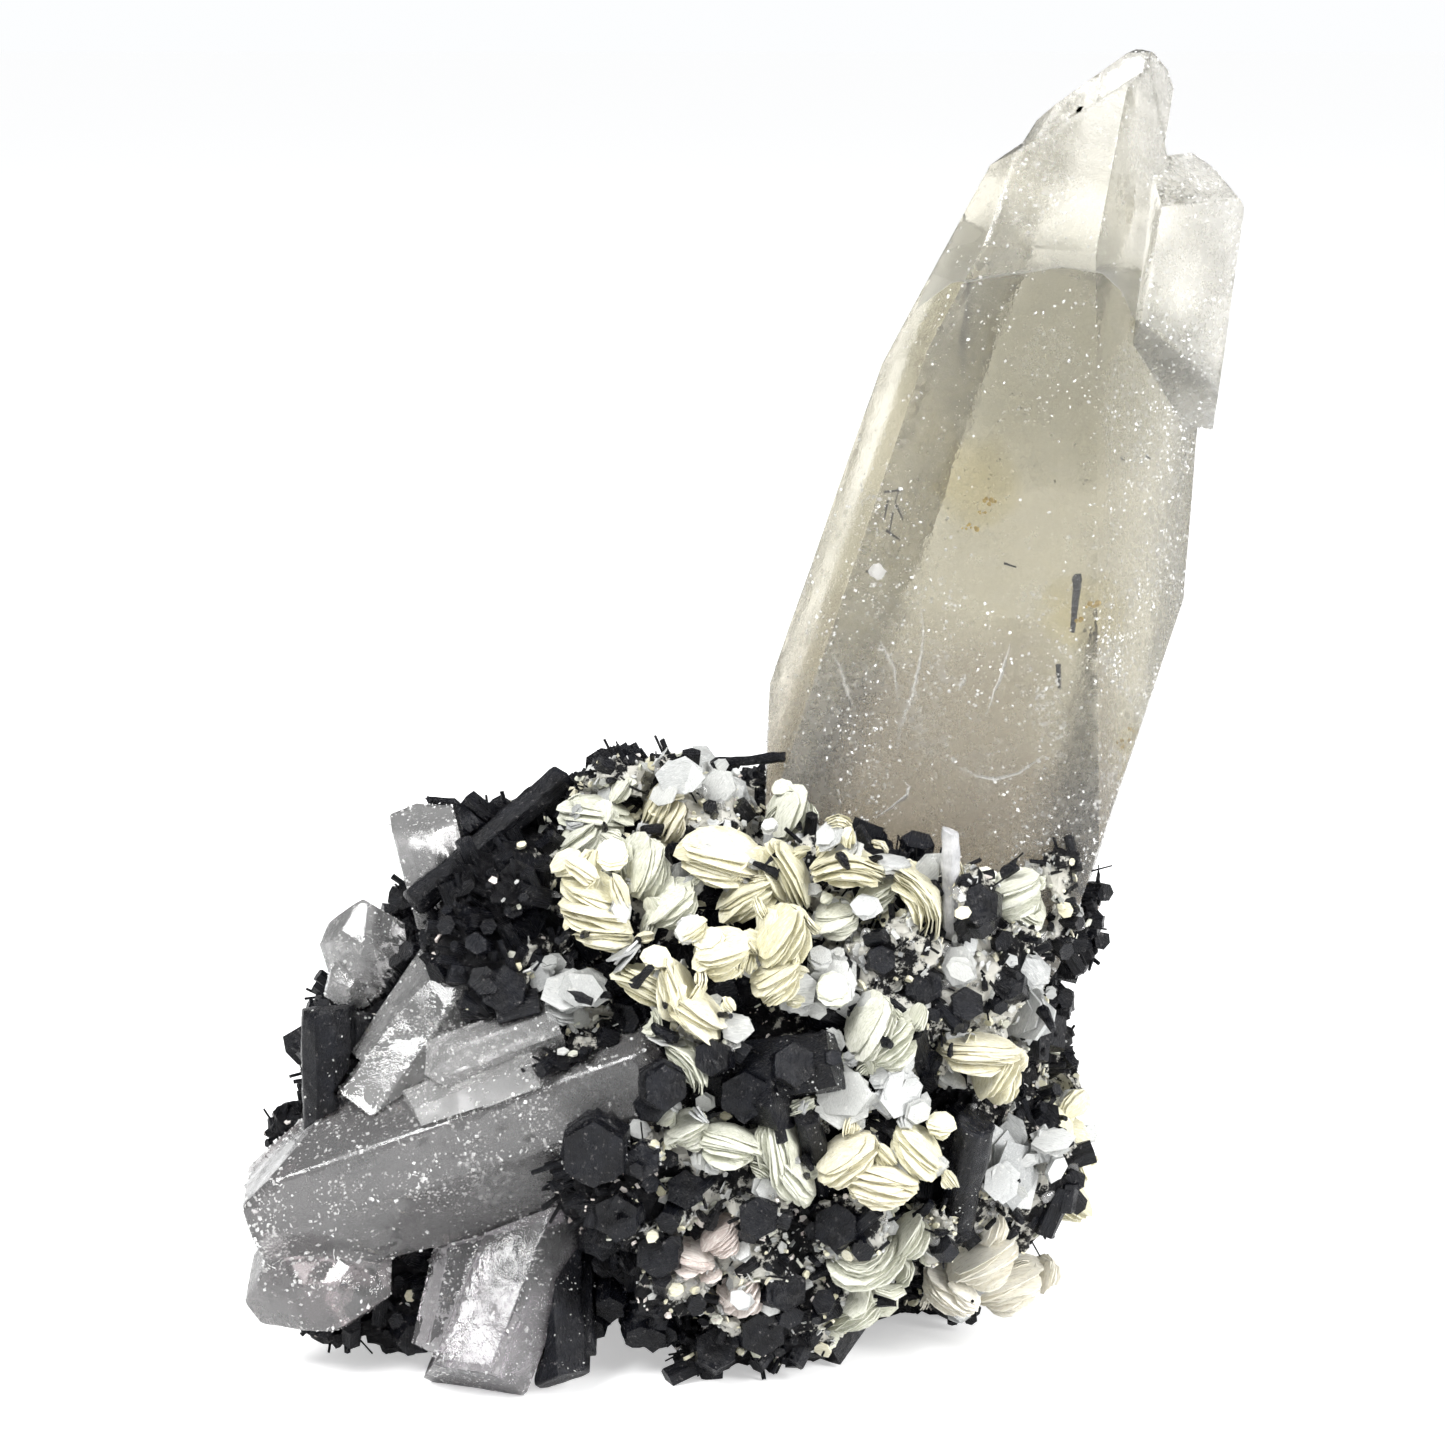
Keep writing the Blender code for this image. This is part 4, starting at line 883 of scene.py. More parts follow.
def muscovite():
    """Every group of books, with six smaller books around each large one."""
    chance = random.Random(5)
    seed = 1
    for name, (finish, books) in BOOKS.items():
        meshes = []
        for at, width, depth, thick, turn, tip, bend in books:
            seed += 1
            meshes.append(book_mesh(at, width, depth, thick, turn, tip, bend, seed, finish))
            for _ in range(6):
                seed += 1
                aside = Vector((
                    chance.uniform(-0.6, 0.6) * width,
                    chance.uniform(-0.12, 0.3) * depth,
                    chance.uniform(-0.6, 0.6) * width,
                ))
                small = chance.uniform(0.2, 0.6)
                meshes.append(book_mesh(
                    Vector(at) + aside, width * small, depth * small, thick * chance.uniform(0.25, 0.6),
                    turn + chance.uniform(-90.0, 90.0), tip + chance.uniform(-40.0, 60.0), bend,
                    seed, finish if chance.random() < 0.6 else WHITE, 8,
                ))
        mesh = joined(meshes)
        mesh.uv_layers.new(name="UVMap")
        smooth_faces(mesh, 30.0)
        piece(f"muscovite_{name}_books", mesh, None, "muscovite", ["muscovite_" + name])


muscovite()


# Places that are known from the picture: a sight line from the camera meets the solids

CAMERA_DISTANCE = 0.300
CAMERA_RISE = math.radians(10.0)
PHOTO_PIXELS = 1445.0
PIXELS_PER_MM = 12.8
TARGET = world((-1.6, 0.0, 49.7))
AIM = Vector((0.0, math.cos(CAMERA_RISE), -math.sin(CAMERA_RISE)))
EYE = TARGET - AIM * CAMERA_DISTANCE
UP = Vector((0.0, math.sin(CAMERA_RISE), math.cos(CAMERA_RISE)))


def sight(across, down):
    """The direction of the sight line through a place in the picture."""
    half = PHOTO_PIXELS / 2.0
    step = MM / PIXELS_PER_MM
    side = Vector((1.0, 0.0, 0.0)) * ((across - half) * step)
    return (AIM * CAMERA_DISTANCE + side - UP * ((down - half) * step)).normalized()


def tree_of(node):
    """A solid as something that sight lines can meet."""
    return BVHTree.FromBMesh(node_shape(node))


def behind_face(tree, across, down, depth):
    """A point at a depth in millimetres behind the face that shows at a place in the picture."""
    direction = sight(across, down)
    found = tree.ray_cast(EYE, direction)[0]
    return None if found is None else found + direction * depth * MM


def on_plane(across, down, depth):
    """The point at a depth into the scene, in millimetres, that shows at a place in the picture."""
    direction = sight(across, down)
    point = EYE + direction * ((depth * MM - EYE.y) / direction.y)
    point.z = max(point.z, 0.0003)
    return point


# The black mass and the crystals that stand free of it

FIBRE = Vector((-0.55, -0.45, 0.70))
BOOK_CENTRES = [world(book[0]) / MM for finish, books in BOOKS.values() for book in books]


def grow_field(at, normal):
    """The way that crystals point at a place on the mass, so that neighbours grow alike."""
    swing = Vector(noise.noise_vector(at * 0.13))
    way = normal * 0.8 + swing * 1.5
    if at.x < -5.0 and at.z > 26.0:
        way = normal * 0.5 + FIBRE * 1.0 + swing * 0.6
    return way.normalized()


def near_books(at, reach):
    """1 beside a mica book, falling to 0 away from it."""
    best = min((at - centre).length_squared for centre in BOOK_CENTRES)
    return math.exp(-best / (reach * reach))


def mass_mesh(voxel):
    """The black mass with a fine, blocky surface, and what its crystals need to know."""
    holder = put("mass", frame["nodes"]["schorl_mass"].data.copy())
    step = holder.modifiers.new("grain", "REMESH")
    step.mode = "VOXEL"
    step.voxel_size = voxel
    mesh = plain(holder)
    shape = bmesh.new()
    shape.from_mesh(mesh)
    shape.normal_update()
    moves = []
    for vert in shape.verts:
        at = vert.co / MM
        cells, points = noise.voronoi(at * 0.8)
        edge = min(1.0, (cells[1] - cells[0]) * 2.2)
        moves.append(vert.normal * ((edge - 0.8) * 0.45) * MM)
    push(shape, moves)
    bmesh.ops.triangulate(shape, faces=shape.faces[:])
    shape.normal_update()
    grow = []
    prisms = []
    crumbs = []
    rosy = []
    pale = []
    for vert in shape.verts:
        at = vert.co / MM
        grow.extend(grow_field(at, vert.normal))
        low = 0.0 if at.z < 1.5 and vert.normal.z < -0.3 else 1.0
        patch = noise.noise(at * 0.16)
        beside = near_books(at, 3.6)
        prisms.append(low * (1.0 - 0.92 * beside) * (0.65 + 0.7 * max(0.0, patch)))
        loose = max(0.0, noise.noise(at * 0.11 + Vector((30.0, 0.0, 0.0))) - 0.05) * 1.6
        pale.append(near_books(at, 4.4))
        crumbs.append(low * min(1.0, beside + 0.30 * loose))
        speckled = max(0.0, noise.noise(at * 0.35 + Vector((0.0, 40.0, 0.0))) + 0.12)
        front = 1.0 if -16.0 < at.x < 8.0 and at.z < 21.0 and at.y < 0.0 else 0.25
        rosy.append(low * min(1.0, speckled * 1.6) * front)
    shape.to_mesh(mesh)
    shape.free()
    add_values(mesh, grow=grow, prisms=prisms, crumbs=crumbs, rosy=rosy, pale=pale)
    mesh.uv_layers.new(name="UVMap")
    return mesh


def scatter_tree(name, round_grains=False):
    """Crystals scattered over a surface, each leaning the way that its place says."""
    tree = bpy.data.node_groups.new(name, "GeometryNodeTree")
    given = named_inputs(tree, [
        ("Base", "geometry"), ("Density", "number"), ("Radius low", "number"), ("Radius high", "number"),
        ("Length low", "number"), ("Length high", "number"), ("Flatness", "number"), ("Tilt", "number"),
        ("Sink", "number"), ("Sides", "count"), ("Seed", "count"), ("Finish", "finish"), ("Where", "text"),
    ])
    where = new(tree, "GeometryNodeInputNamedAttribute", {"Name": given["Where"]}, data_type="FLOAT").outputs[0]
    grow = new(tree, "GeometryNodeInputNamedAttribute", {"Name": "grow"}, data_type="FLOAT_VECTOR").outputs[0]
    density = num(tree, "MULTIPLY", where, given["Density"])
    spread = {"Mesh": given["Base"], "Density": density, "Seed": given["Seed"]}
    points = new(tree, "GeometryNodeDistributePointsOnFaces", spread).outputs["Points"]

    def chance(low, high, salt):
        return chance_of(tree, given["Seed"], low, high, salt)

    def between(low, high, salt):
        share = chance(0.0, 1.0, salt)
        share = num(tree, "MULTIPLY", share, share)
        return num(tree, "ADD", low, num(tree, "MULTIPLY", share, num(tree, "SUBTRACT", high, low)))

    # Size and direction of each crystal
    radius = between(given["Radius low"], given["Radius high"], 3)
    length = between(given["Length low"], given["Length high"], 5)
    tilt = vec(tree, "SCALE", chance((-1.0,) * 3, (1.0,) * 3, 7))
    tree.links.new(given["Tilt"], tilt.node.inputs["Scale"])
    way = vec(tree, "ADD", grow, tilt)
    turn = new(tree, "FunctionNodeAlignRotationToVector", {"Vector": way}, axis="Z").outputs[0]
    spin = {"Rotation": turn, "Rotate By": chance((0.0, 0.0, -3.14), (0.0, 0.0, 3.14), 9)}
    turn = new(tree, "FunctionNodeRotateRotation", spin, rotation_space="LOCAL").outputs[0]

    # One crystal or grain, and its copies
    if round_grains:
        grain = new(tree, "GeometryNodeMeshIcoSphere", {"Radius": 1.0, "Subdivisions": 2}).outputs
    else:
        grain = cylinder(tree, given["Sides"], 1.0, "NGON")
    grain = stored(tree, grain["Mesh"], "UVMap", grain["UV Map"], "CORNER", "FLOAT2")
    lift = xyz(tree, z=num(tree, "SUBTRACT", 0.5, given["Sink"]))
    grain = new(tree, "GeometryNodeTransform", {"Geometry": grain, "Translation": lift}).outputs[0]
    size = xyz(tree, radius, num(tree, "MULTIPLY", radius, given["Flatness"]), length)
    made = copies(tree, points, grain, turn, size)
    for name, salt in (("leaf", 11), ("book", 13)):
        made = stored(tree, made, name, chance(0.0, 1.0, salt), "INSTANCE")

    # Uneven faces
    place = new(tree, "GeometryNodeInputPosition").outputs[0]
    solid = stored(tree, realized(tree, made), "lay", place, "POINT", "FLOAT_VECTOR")
    grain = {"Vector": place, "Scale": 0.9 if round_grains else 0.7, "Detail": 2.0}
    wobble = new(tree, "ShaderNodeTexNoise", grain).outputs["Color"]
    reach = (0.9,) * 3 if round_grains else (0.45,) * 3
    wobble = vec(tree, "MULTIPLY", vec(tree, "SUBTRACT", wobble, (0.5,) * 3), reach)
    result(tree, moved(tree, solid, Offset=wobble), given["Finish"])
    return tree


BAR_TREE = scatter_tree("scattered_crystals")
GRAIN_TREE = scatter_tree("scattered_grains", round_grains=True)


def scattered(name, tree, base, where, finish, slot, density, radius, length,
              sides=6, flat=0.85, tilt=0.5, sink=0.3, seed=1):
    """A piece of many crystals on a base mesh. The tree works in millimetres."""
    big = base.copy()
    big.transform(Matrix.Scale(1.0 / MM, 4))
    mesh = run_tree(tree, {
        "Density": density, "Radius low": radius[0], "Radius high": radius[1], "Length low": length[0],
        "Length high": length[1], "Flatness": flat, "Tilt": tilt, "Sink": sink, "Sides": sides, "Seed": seed,
        "Finish": finish, "Where": where,
    }, big)
    mesh.transform(Matrix.Scale(MM, 4))
    for vert in mesh.vertices:
        if vert.co.z < 0.0:
            vert.co.z = 0.0
    if tree is GRAIN_TREE:
        smooth_faces(mesh, 35.0)
    return piece(name, mesh, finish, slot)


def bar_uv(mesh):
    """Grooves along each crystal: v runs along its longest way, in u around it."""
    layer = mesh.uv_layers.new(name="UVMap")
    shape = bmesh.new()
    shape.from_mesh(mesh)
    shape.verts.ensure_lookup_table()
    shape.faces.ensure_lookup_table()
    left = set(shape.verts)
    axis_of = {}
    while left:
        stack = [left.pop()]
        group = list(stack)
        while stack:
            for edge in stack.pop().link_edges:
                for vert in edge.verts:
                    if vert in left:
                        left.discard(vert)
                        stack.append(vert)
                        group.append(vert)
        longest = max(
            ((a.co - b.co) for a in group[:60] for b in group[::max(1, len(group) // 60)]),
            key=lambda span: span.length,
        ).normalized()
        for vert in group:
            axis_of[vert.index] = longest
    for face in shape.faces:
        axis = axis_of[face.verts[0].index]
        side = axis.cross(face.normal)
        side = side.normalized() if side.length > 0.2 else axis.orthogonal().normalized()
        for loop, index in zip(face.loops, mesh.polygons[face.index].loop_indices):
            at = loop.vert.co / MM
            layer.data[index].uv = (at.dot(side) * 0.16, at.dot(axis) * 0.3)
    shape.free()


# What grows on the mass, as name, where, finish, slot, number to a square millimetre, radii, lengths and more
ON_THE_MASS = [
    ("schorl_columns", "prisms", BLACK, "schorl", 0.035, (0.8, 1.7), (2.4, 5.0),
     {"tilt": 0.7, "sink": 0.62, "seed": 2}),
    ("schorl_prisms", "prisms", BLACK, "schorl", 0.34, (0.3, 1.1), (1.2, 3.4),
     {"tilt": 0.55, "sink": 0.5, "seed": 3}),
    ("schorl_needles", "prisms", BLACK, "schorl", 0.55, (0.08, 0.26), (1.2, 3.4),
     {"tilt": 0.45, "sink": 0.42, "seed": 8}),
    ("mica_crumbs", "crumbs", YELLOW, "muscovite", 0.50, (0.14, 0.70), (0.10, 0.40),
     {"sides": 7, "tilt": 1.3, "sink": -0.8, "seed": 21}),
    ("green_crumbs", "crumbs", GREEN, "muscovite", 0.35, (0.14, 0.60), (0.10, 0.36),
     {"sides": 6, "tilt": 1.3, "sink": -0.8, "seed": 27}),
    ("pearly_flakes", "crumbs", WHITE, "muscovite", 1.7, (0.08, 0.62), (0.05, 0.20),
     {"sides": 5, "tilt": 1.5, "sink": -1.4, "seed": 34}),
    ("pink_crumbs", "rosy", PINK, "muscovite", 1.2, (0.08, 0.44), (0.06, 0.30),
     {"sides": 5, "tilt": 1.4, "sink": -0.8, "seed": 41}),
    ("quartz_grains", "crumbs", CLEAR, "clear_quartz", 0.16, (0.25, 0.8), (0.3, 0.9),
     {"tilt": 0.8, "sink": 0.5, "seed": 55}),
]


def black_crystals():
    """The mass with all that grows on it, and the large black crystals."""
    base = mass_mesh(0.00065)
    for name, where, finish, slot, density, radius, length, more in ON_THE_MASS:
        tree = GRAIN_TREE if name == "quartz_grains" else BAR_TREE
        scattered(name, tree, base, where, finish, slot, density, radius, length, **more)
    piece("schorl_body", base, BLACK_GRAINS, "schorl", ["schorl_mass"])
    for node in frame["nodes"]:
        if node.startswith("schorl_") and node != "schorl_mass":
            made = crystal_mesh(node, 0.00010, 0.0007, 0.00026)
            bar_uv(made)
            # The silvery schorl crystal gets the schorl finish with painted sheen
            finish = SCHORL_PAINTED_SHEEN if node == "schorl_silver" else BLACK
            piece(node + "_faces", made, finish, "schorl", [node])


black_crystals()


# What is enclosed in the crystals, by its place in the picture

# Sheets of dust, as left, top, right, bottom, depth behind the face, strength and crystal
LYING = "smoky_quartz_lying"
BLOCK = "quartz_block"
SHEETS = [
    (265, 1040, 670, 1250, 0.7, 1.0, LYING), (280, 1060, 660, 1240, 2.0, 0.9, LYING),
    (480, 985, 670, 1070, 0.5, 1.4, LYING), (245, 1150, 340, 1310, 1.0, 1.1, LYING),
    (405, 1235, 550, 1390, 0.8, 0.9, BLOCK), (405, 1235, 550, 1390, 2.6, 0.8, BLOCK),
    (425, 980, 568, 1095, 0.7, 1.4, "clear_quartz_front"), (360, 965, 482, 1118, 0.7, 1.1, "clear_quartz_back"),
    (383, 808, 482, 905, 0.8, 0.8, "quartz_upper_left"), (325, 905, 385, 1008, 0.8, 1.0, "quartz_lump_left"),
    (1020, 560, 1125, 830, 1.0, 1.0), (850, 400, 960, 780, 1.6, 0.7), (1085, 640, 1170, 800, 1.2, 1.2),
    (1130, 400, 1215, 520, 0.8, 1.3), (822, 585, 985, 800, 2.0, 0.9), (1015, 530, 1125, 730, 2.4, 0.8),
    (1115, 370, 1210, 570, 1.6, 0.8), (960, 340, 1060, 430, 2.6, 0.55), (780, 735, 1125, 905, 3.0, 1.0),
    (985, 600, 1130, 840, 6.0, 0.6), (890, 420, 1020, 610, 5.0, 0.4), (985, 120, 1100, 270, 2.0, 0.35),
    (930, 290, 1130, 520, 8.0, 0.35),
]

# Enclosed black needles, as start, end and radius
SPIKES = [
    (1077, 582, 1072, 632, 0.34), (1058, 664, 1059, 688, 0.22), (1004, 563, 1016, 567, 0.10),
    (866, 571, 878, 575, 0.12), (884, 492, 902, 490, 0.10), (888, 500, 884, 520, 0.09),
    (896, 505, 903, 520, 0.10), (886, 530, 900, 540, 0.11), (893, 512, 889, 534, 0.08),
    (899, 487, 895, 503, 0.08), (1143, 456, 1147, 459, 0.10), (1118, 458, 1121, 461, 0.09),
]
# Prisms under the front of the mass, as start, end and radius
FOOT_PRISMS = [
    (606, 1276, 592, 1330, 1.9), (630, 1262, 640, 1338, 2.3), (664, 1272, 652, 1340, 2.2),
    (650, 1300, 690, 1336, 1.6), (700, 1320, 712, 1374, 1.8), (618, 1250, 610, 1310, 2.2),
    (690, 1290, 668, 1336, 1.5),
]
# Black crystals that point at the camera, as across, down and radius
HEX_ENDS = [
    (595, 1152, 2.7), (642, 1161, 1.5), (664, 1086, 1.8), (713, 1057, 1.5), (745, 1094, 2.1), (793, 1066, 1.8),
    (831, 1058, 0.7), (566, 966, 0.75), (1055, 1007, 1.5), (980, 905, 1.7), (925, 985, 1.6), (965, 1005, 1.4),
    (760, 1215, 1.7), (620, 1215, 2.0), (660, 1255, 1.9), (600, 1240, 1.6), (838, 1226, 1.9), (760, 1330, 2.0),
    (715, 1350, 1.8), (800, 1365, 1.7), (505, 990, 2.0), (880, 960, 1.2), (1010, 985, 1.4), (1075, 808, 0.8),
    (685, 1190, 1.6), (785, 1290, 1.8),
]
# Healed cracks, as the points of each line
CRACKS = [
    [(920, 607), (923, 630), (921, 652), (916, 675), (913, 693), (905, 712), (899, 728), (897, 752)],
    [(834, 656), (841, 672), (846, 690), (853, 706)],
    [(965, 673), (962, 682), (958, 690)],
    [(958, 766), (976, 776), (995, 780), (1020, 773), (1044, 755)],
    [(903, 780), (908, 786), (906, 794), (892, 806), (875, 817)],
    [(1010, 642), (1004, 662), (994, 690), (985, 716)],
    [(880, 640), (893, 668), (898, 700)],
]
# Yellow stains, as across, down and size
STAINS = [
    (990, 500, 0.42), (968, 526, 0.40), (982, 512, 0.22), (1092, 604, 0.5), (1078, 618, 0.3), (1122, 742, 0.55),
    (1132, 730, 0.3),
]


def blob(centre, radius, seed, flat=0.35):
    """A small rough lens."""
    def rule(at):
        swell = 1.0 + 0.45 * noise.noise(at * 1.6 + Vector((seed * 3.1, 0.0, 0.0)))
        return Vector((at.x * radius * swell, at.y * radius * flat, at.z * radius * swell)) * MM + centre

    return lump("blob", 2, rule)


def spike(start, end, radius, taper=0.55):
    """A thin six-sided needle between two points."""
    axis = end - start
    frame_of = Matrix.Translation(start) @ axis.to_track_quat("Z", "Y").to_matrix().to_4x4()
    shape = bmesh.new()
    bmesh.ops.create_cone(
        shape, cap_ends=True, segments=6, radius1=radius * MM, radius2=radius * taper * MM, depth=axis.length
    )
    bmesh.ops.translate(shape, verts=shape.verts[:], vec=(0.0, 0.0, axis.length / 2.0))
    shape.transform(frame_of)
    return mesh_of(shape, "spike")


def crack(points, width, thickness):
    """A curved sheet along a line, standing edge-on to the front."""
    shape = bmesh.new()
    rows = []
    for step, point in enumerate(points):
        before = points[max(0, step - 1)]
        after = points[min(len(points) - 1, step + 1)]
        along_line = (after - before).normalized()
        swell = math.sin(math.pi * step / (len(points) - 1)) * (0.8 + 0.5 * noise.noise(point / MM * 2.0))
        swell = 0.2 + 0.8 * swell
        out = along_line.cross(AIM).normalized() * (thickness * 0.5 * swell * MM)
        deep = AIM * (width * MM) + out * 4.0
        rows.append([shape.verts.new(point + move) for move in (out, deep + out, deep - out, -out)])
    for first, second in zip(rows, rows[1:]):
        for step in range(4):
            after = (step + 1) % 4
            shape.faces.new((first[step], first[after], second[after], second[step]))
    shape.faces.new(rows[0])
    shape.faces.new(list(reversed(rows[-1])))
    bmesh.ops.recalc_face_normals(shape, faces=shape.faces[:])
    return mesh_of(shape, "crack")


def eased(line):
    """A line through the same points with softly wandering points between them."""
    made = []
    for (x1, y1), (x2, y2) in zip(line, line[1:]):
        for step in range(3):
            share = step / 3.0
            sway = noise.noise(Vector((x1 * 0.3 + step, y1 * 0.3, 2.0))) * 2.4
            made.append((x1 + (x2 - x1) * share + sway, y1 + (y2 - y1) * share))
    return made + [line[-1]]


def enclosed():
    """Needles, healed cracks and stains just under the tall crystal's front."""
    tree = tree_of("smoky_quartz_main")
    needles = []
    for x1, y1, x2, y2, radius in SPIKES:
        needles.append(spike(behind_face(tree, x1, y1, 0.9), behind_face(tree, x2, y2, 1.2), radius))
    mesh = joined(needles)
    mesh.uv_layers.new(name="UVMap")
    piece("enclosed_needles", mesh, BLACK, "schorl")
    sheets = [crack([behind_face(tree, x, y, 0.7) for x, y in eased(line)], 1.0, 0.10) for line in CRACKS]
    sheets.append(blob(behind_face(tree, 877, 571, 0.8), 0.62, 4))
    piece("healed_cracks", joined(sheets), FLECK, "smoky_quartz")
    chance = random.Random(12)
    stains = []
    for x, y, size in STAINS:
        for step in range(7):
            place = behind_face(tree, x + chance.gauss(0.0, 9.0 * size), y + chance.gauss(0.0, 5.0 * size), 0.6)
            stains.append(blob(place, size * chance.uniform(0.18, 0.5), step))
    piece("amber_stains", joined(stains), AMBER, "smoky_quartz")
    piece("enclosed_end", blob(behind_face(tree, 1077, 579, 0.9), 0.42, 2, 0.8), BLACK, "schorl")


def dust_sheets():
    """Sheets of fine white dust inside the crystals."""
    shape = bmesh.new()
    dust = []
    steps = 16
    for number, (left, top, right, bottom, depth, strength, *crystal) in enumerate(SHEETS):
        tree = tree_of(crystal[0] if crystal else "smoky_quartz_main")
        grid = {}
        for row in range(steps + 1):
            for column in range(steps + 1):
                u, v = column / steps, row / steps
                across, down = left + (right - left) * u, top + (bottom - top) * v
                sway = noise.noise(Vector((across * 0.02, down * 0.02, number * 5.0)))
                point = behind_face(tree, across, down, depth + 1.4 * sway)
                if point is None:
                    continue
                fade = (1.0 - abs(2.0 * u - 1.0) ** 3) * (1.0 - abs(2.0 * v - 1.0) ** 3)
                thick = -0.15 + 2.4 * noise.noise(point / MM * 0.32) + 1.4 * noise.noise(point / MM * 1.1)
                grid[row, column] = shape.verts.new(point)
                dust.append(min(1.0, fade * max(0.0, thick) * strength))
        for row in range(steps):
            for column in range(steps):
                corners = [grid.get((row + a, column + b)) for a, b in ((0, 0), (1, 0), (1, 1), (0, 1))]
                if None not in corners:
                    shape.faces.new(corners)
    base = mesh_of(shape, "dust_sheets")
    add_values(base, grow=list(-AIM) * len(dust), dust=dust)
    scattered(
        "enclosed_dust", BAR_TREE, base, "dust", FLECK, "smoky_quartz", 14.0, (0.03, 0.17), (0.02, 0.07),
        sides=4, tilt=1.2, sink=0.5, seed=61,
    )


def grey_cores():
    """Smokier insides of the block and of the lying crystal's left end."""
    piece("quartz_block_core", shrunken("quartz_block", 0.0009), BLOCK_CORE, "clear_quartz")
    centre = on_plane(292, 1262, -10.0)

    def rule(at):
        return centre + Vector((7.5, 7.0, 5.0)) * at * ((1.0 + 0.25 * noise.noise(at * 2.0)) * MM)

    made = cut_away(lump("brown_end", 4, rule), shrunken("smoky_quartz_lying", 0.0007), "INTERSECT")
    piece("lying_crystal_brown_end", made, BROWN_END, "smoky_quartz")


def front_point(trees, across, down):
    """The nearest of several solids at a place in the picture, or nothing."""
    hits = [behind_face(tree, across, down, 0.0) for tree in trees]
    hits = [hit for hit in hits if hit is not None]
    return min(hits, key=lambda hit: (hit - EYE).length) if hits else None


# Thin white plates that face the camera, as across, down, width and turn
PLATES = [
    (682, 776, 3.6, 12.0), (716, 784, 3.3, -24.0), (702, 762, 2.8, 34.0), (664, 792, 2.2, -40.0),
    (552, 964, 2.3, 8.0), (584, 990, 3.6, -12.0), (640, 1130, 2.0, 20.0), (1034, 972, 2.8, 66.0),
    (518, 1217, 1.9, -35.0), (866, 905, 2.4, 16.0), (1000, 1180, 3.4, 80.0), (742, 1298, 2.0, 30.0),
    (772, 1306, 1.8, -20.0), (960, 968, 2.2, 10.0), (890, 1288, 1.8, 24.0),
]


def plates():
    """Thin white mica plates over the mass and between the crystals."""
    trees = [tree_of(node) for node in frame["nodes"] if not node.startswith(("smoky", "clear", "quartz"))]
    made = []
    for number, (across, down, width, turn) in enumerate(PLATES):
        front = front_point(trees, across, down)
        if front is not None:
            at = (front - AIM * 0.0004) / MM - CAD_SHIFT
            made.append(book_mesh(at, width, width * 0.8, 0.6, turn, 82.0, 9.0, 300 + number, WHITE))
    mesh = joined(made)
    mesh.uv_layers.new(name="UVMap")
    smooth_faces(mesh, 25.0)
    piece("muscovite_plates_in_front", mesh, WHITE, "muscovite")


def knobs():
    """Small black crystals between the mica books, and a few along the foot."""
    chance = random.Random(17)
    made = []
    for name in BOOKS:
        solid = frame["nodes"]["muscovite_" + name].data
        for _ in range(4):
            face = solid.polygons[chance.randrange(len(solid.polygons))]
            if face.normal.y > 0.2 or face.normal.z < -0.5 or face.center.z < 0.004:
                continue
            lean = chance.uniform(-0.5, 0.5), chance.uniform(-0.6, 0.1), chance.uniform(-0.5, 0.5)
            way = face.normal + Vector(lean)
            start = face.center - face.normal * 0.0006
            end = start + way.normalized() * chance.uniform(1.2, 2.4) * MM
            made.append(spike(start, end, chance.uniform(0.2, 0.62)))
    for x1, y1, x2, y2, radius in FOOT_PRISMS:
        made.append(spike(on_plane(x1, y1, -6.0), on_plane(x2, y2, -13.0), radius))
    trees = [tree_of(node) for node in frame["nodes"] if node.startswith("schorl_")]
    for across, down, radius in HEX_ENDS:
        front = front_point(trees, across, down)
        if front is None:
            continue
        way = (-AIM + Vector((chance.uniform(-0.3, 0.3), 0.0, chance.uniform(-0.2, 0.3)))).normalized()
        made.append(spike(front - way * 0.0025, front + way * 0.0009, radius, 0.93))
    mesh = joined(made)
    shape = bmesh.new()
    shape.from_mesh(mesh)
    bmesh.ops.triangulate(shape, faces=shape.faces[:])
    refine(shape, 0.0007)
    shape.normal_update()
    moves = [vert.normal * (noise.noise(vert.co / MM * 1.6) * 0.22 * MM) for vert in shape.verts]
    push(shape, moves)
    shape.to_mesh(mesh)
    shape.free()
    smooth_faces(mesh, 25.0)
    bar_uv(mesh)
    piece("schorl_knobs", mesh, BLACK, "schorl")


def tall_dust(at, normal, on_edge):
    """How dusty the tall crystal is: mostly its right face, its foot and its edges."""
    local = TALL.inverted() @ (at * MM)
    clouds = max(0.0, 0.1 + noise.noise(at * 0.16 + Vector((5.0, 9.0, 2.0))) * 1.8 + 0.9 * noise.noise(at * 0.6))
    streak = max(0.0, noise.noise(Vector((local.x * 1.1, local.y * 1.1, local.z * 0.22)))) * 0.8
    level = frost_at(at * MM) * (0.5 if local.y > 3.0 else 1.0)
    return min(1.0, (clouds + streak) * level * level * 1.8 + (0.35 if on_edge else 0.0))


def lying_dust(at, normal, on_edge):
    """How dusty the lying crystal is: its upper faces and its edges."""
    clouds = max(0.0, 0.35 + noise.noise(at * 0.3) + 0.5 * noise.noise(at * 1.0))
    return min(1.0, clouds * (0.9 if normal.z > 0.35 else 0.28) + (0.8 if on_edge else 0.0))


def small_dust(at, normal, on_edge):
    """How dusty the small crystals are: patches, and their edges."""
    clouds = max(0.0, 0.1 + noise.noise(at * 0.4 + Vector((9.0, 0.0, 0.0))) + 0.4 * noise.noise(at * 1.2))
    return min(1.0, clouds * 0.7 + (0.7 if on_edge else 0.0))


def black_dust(at, normal, on_edge):
    """How thick the mica dust lies on the large black crystals."""
    return min(1.0, max(0.0, 0.2 + 1.4 * noise.noise(at * 0.5) + 0.6 * noise.noise(at * 1.7)))


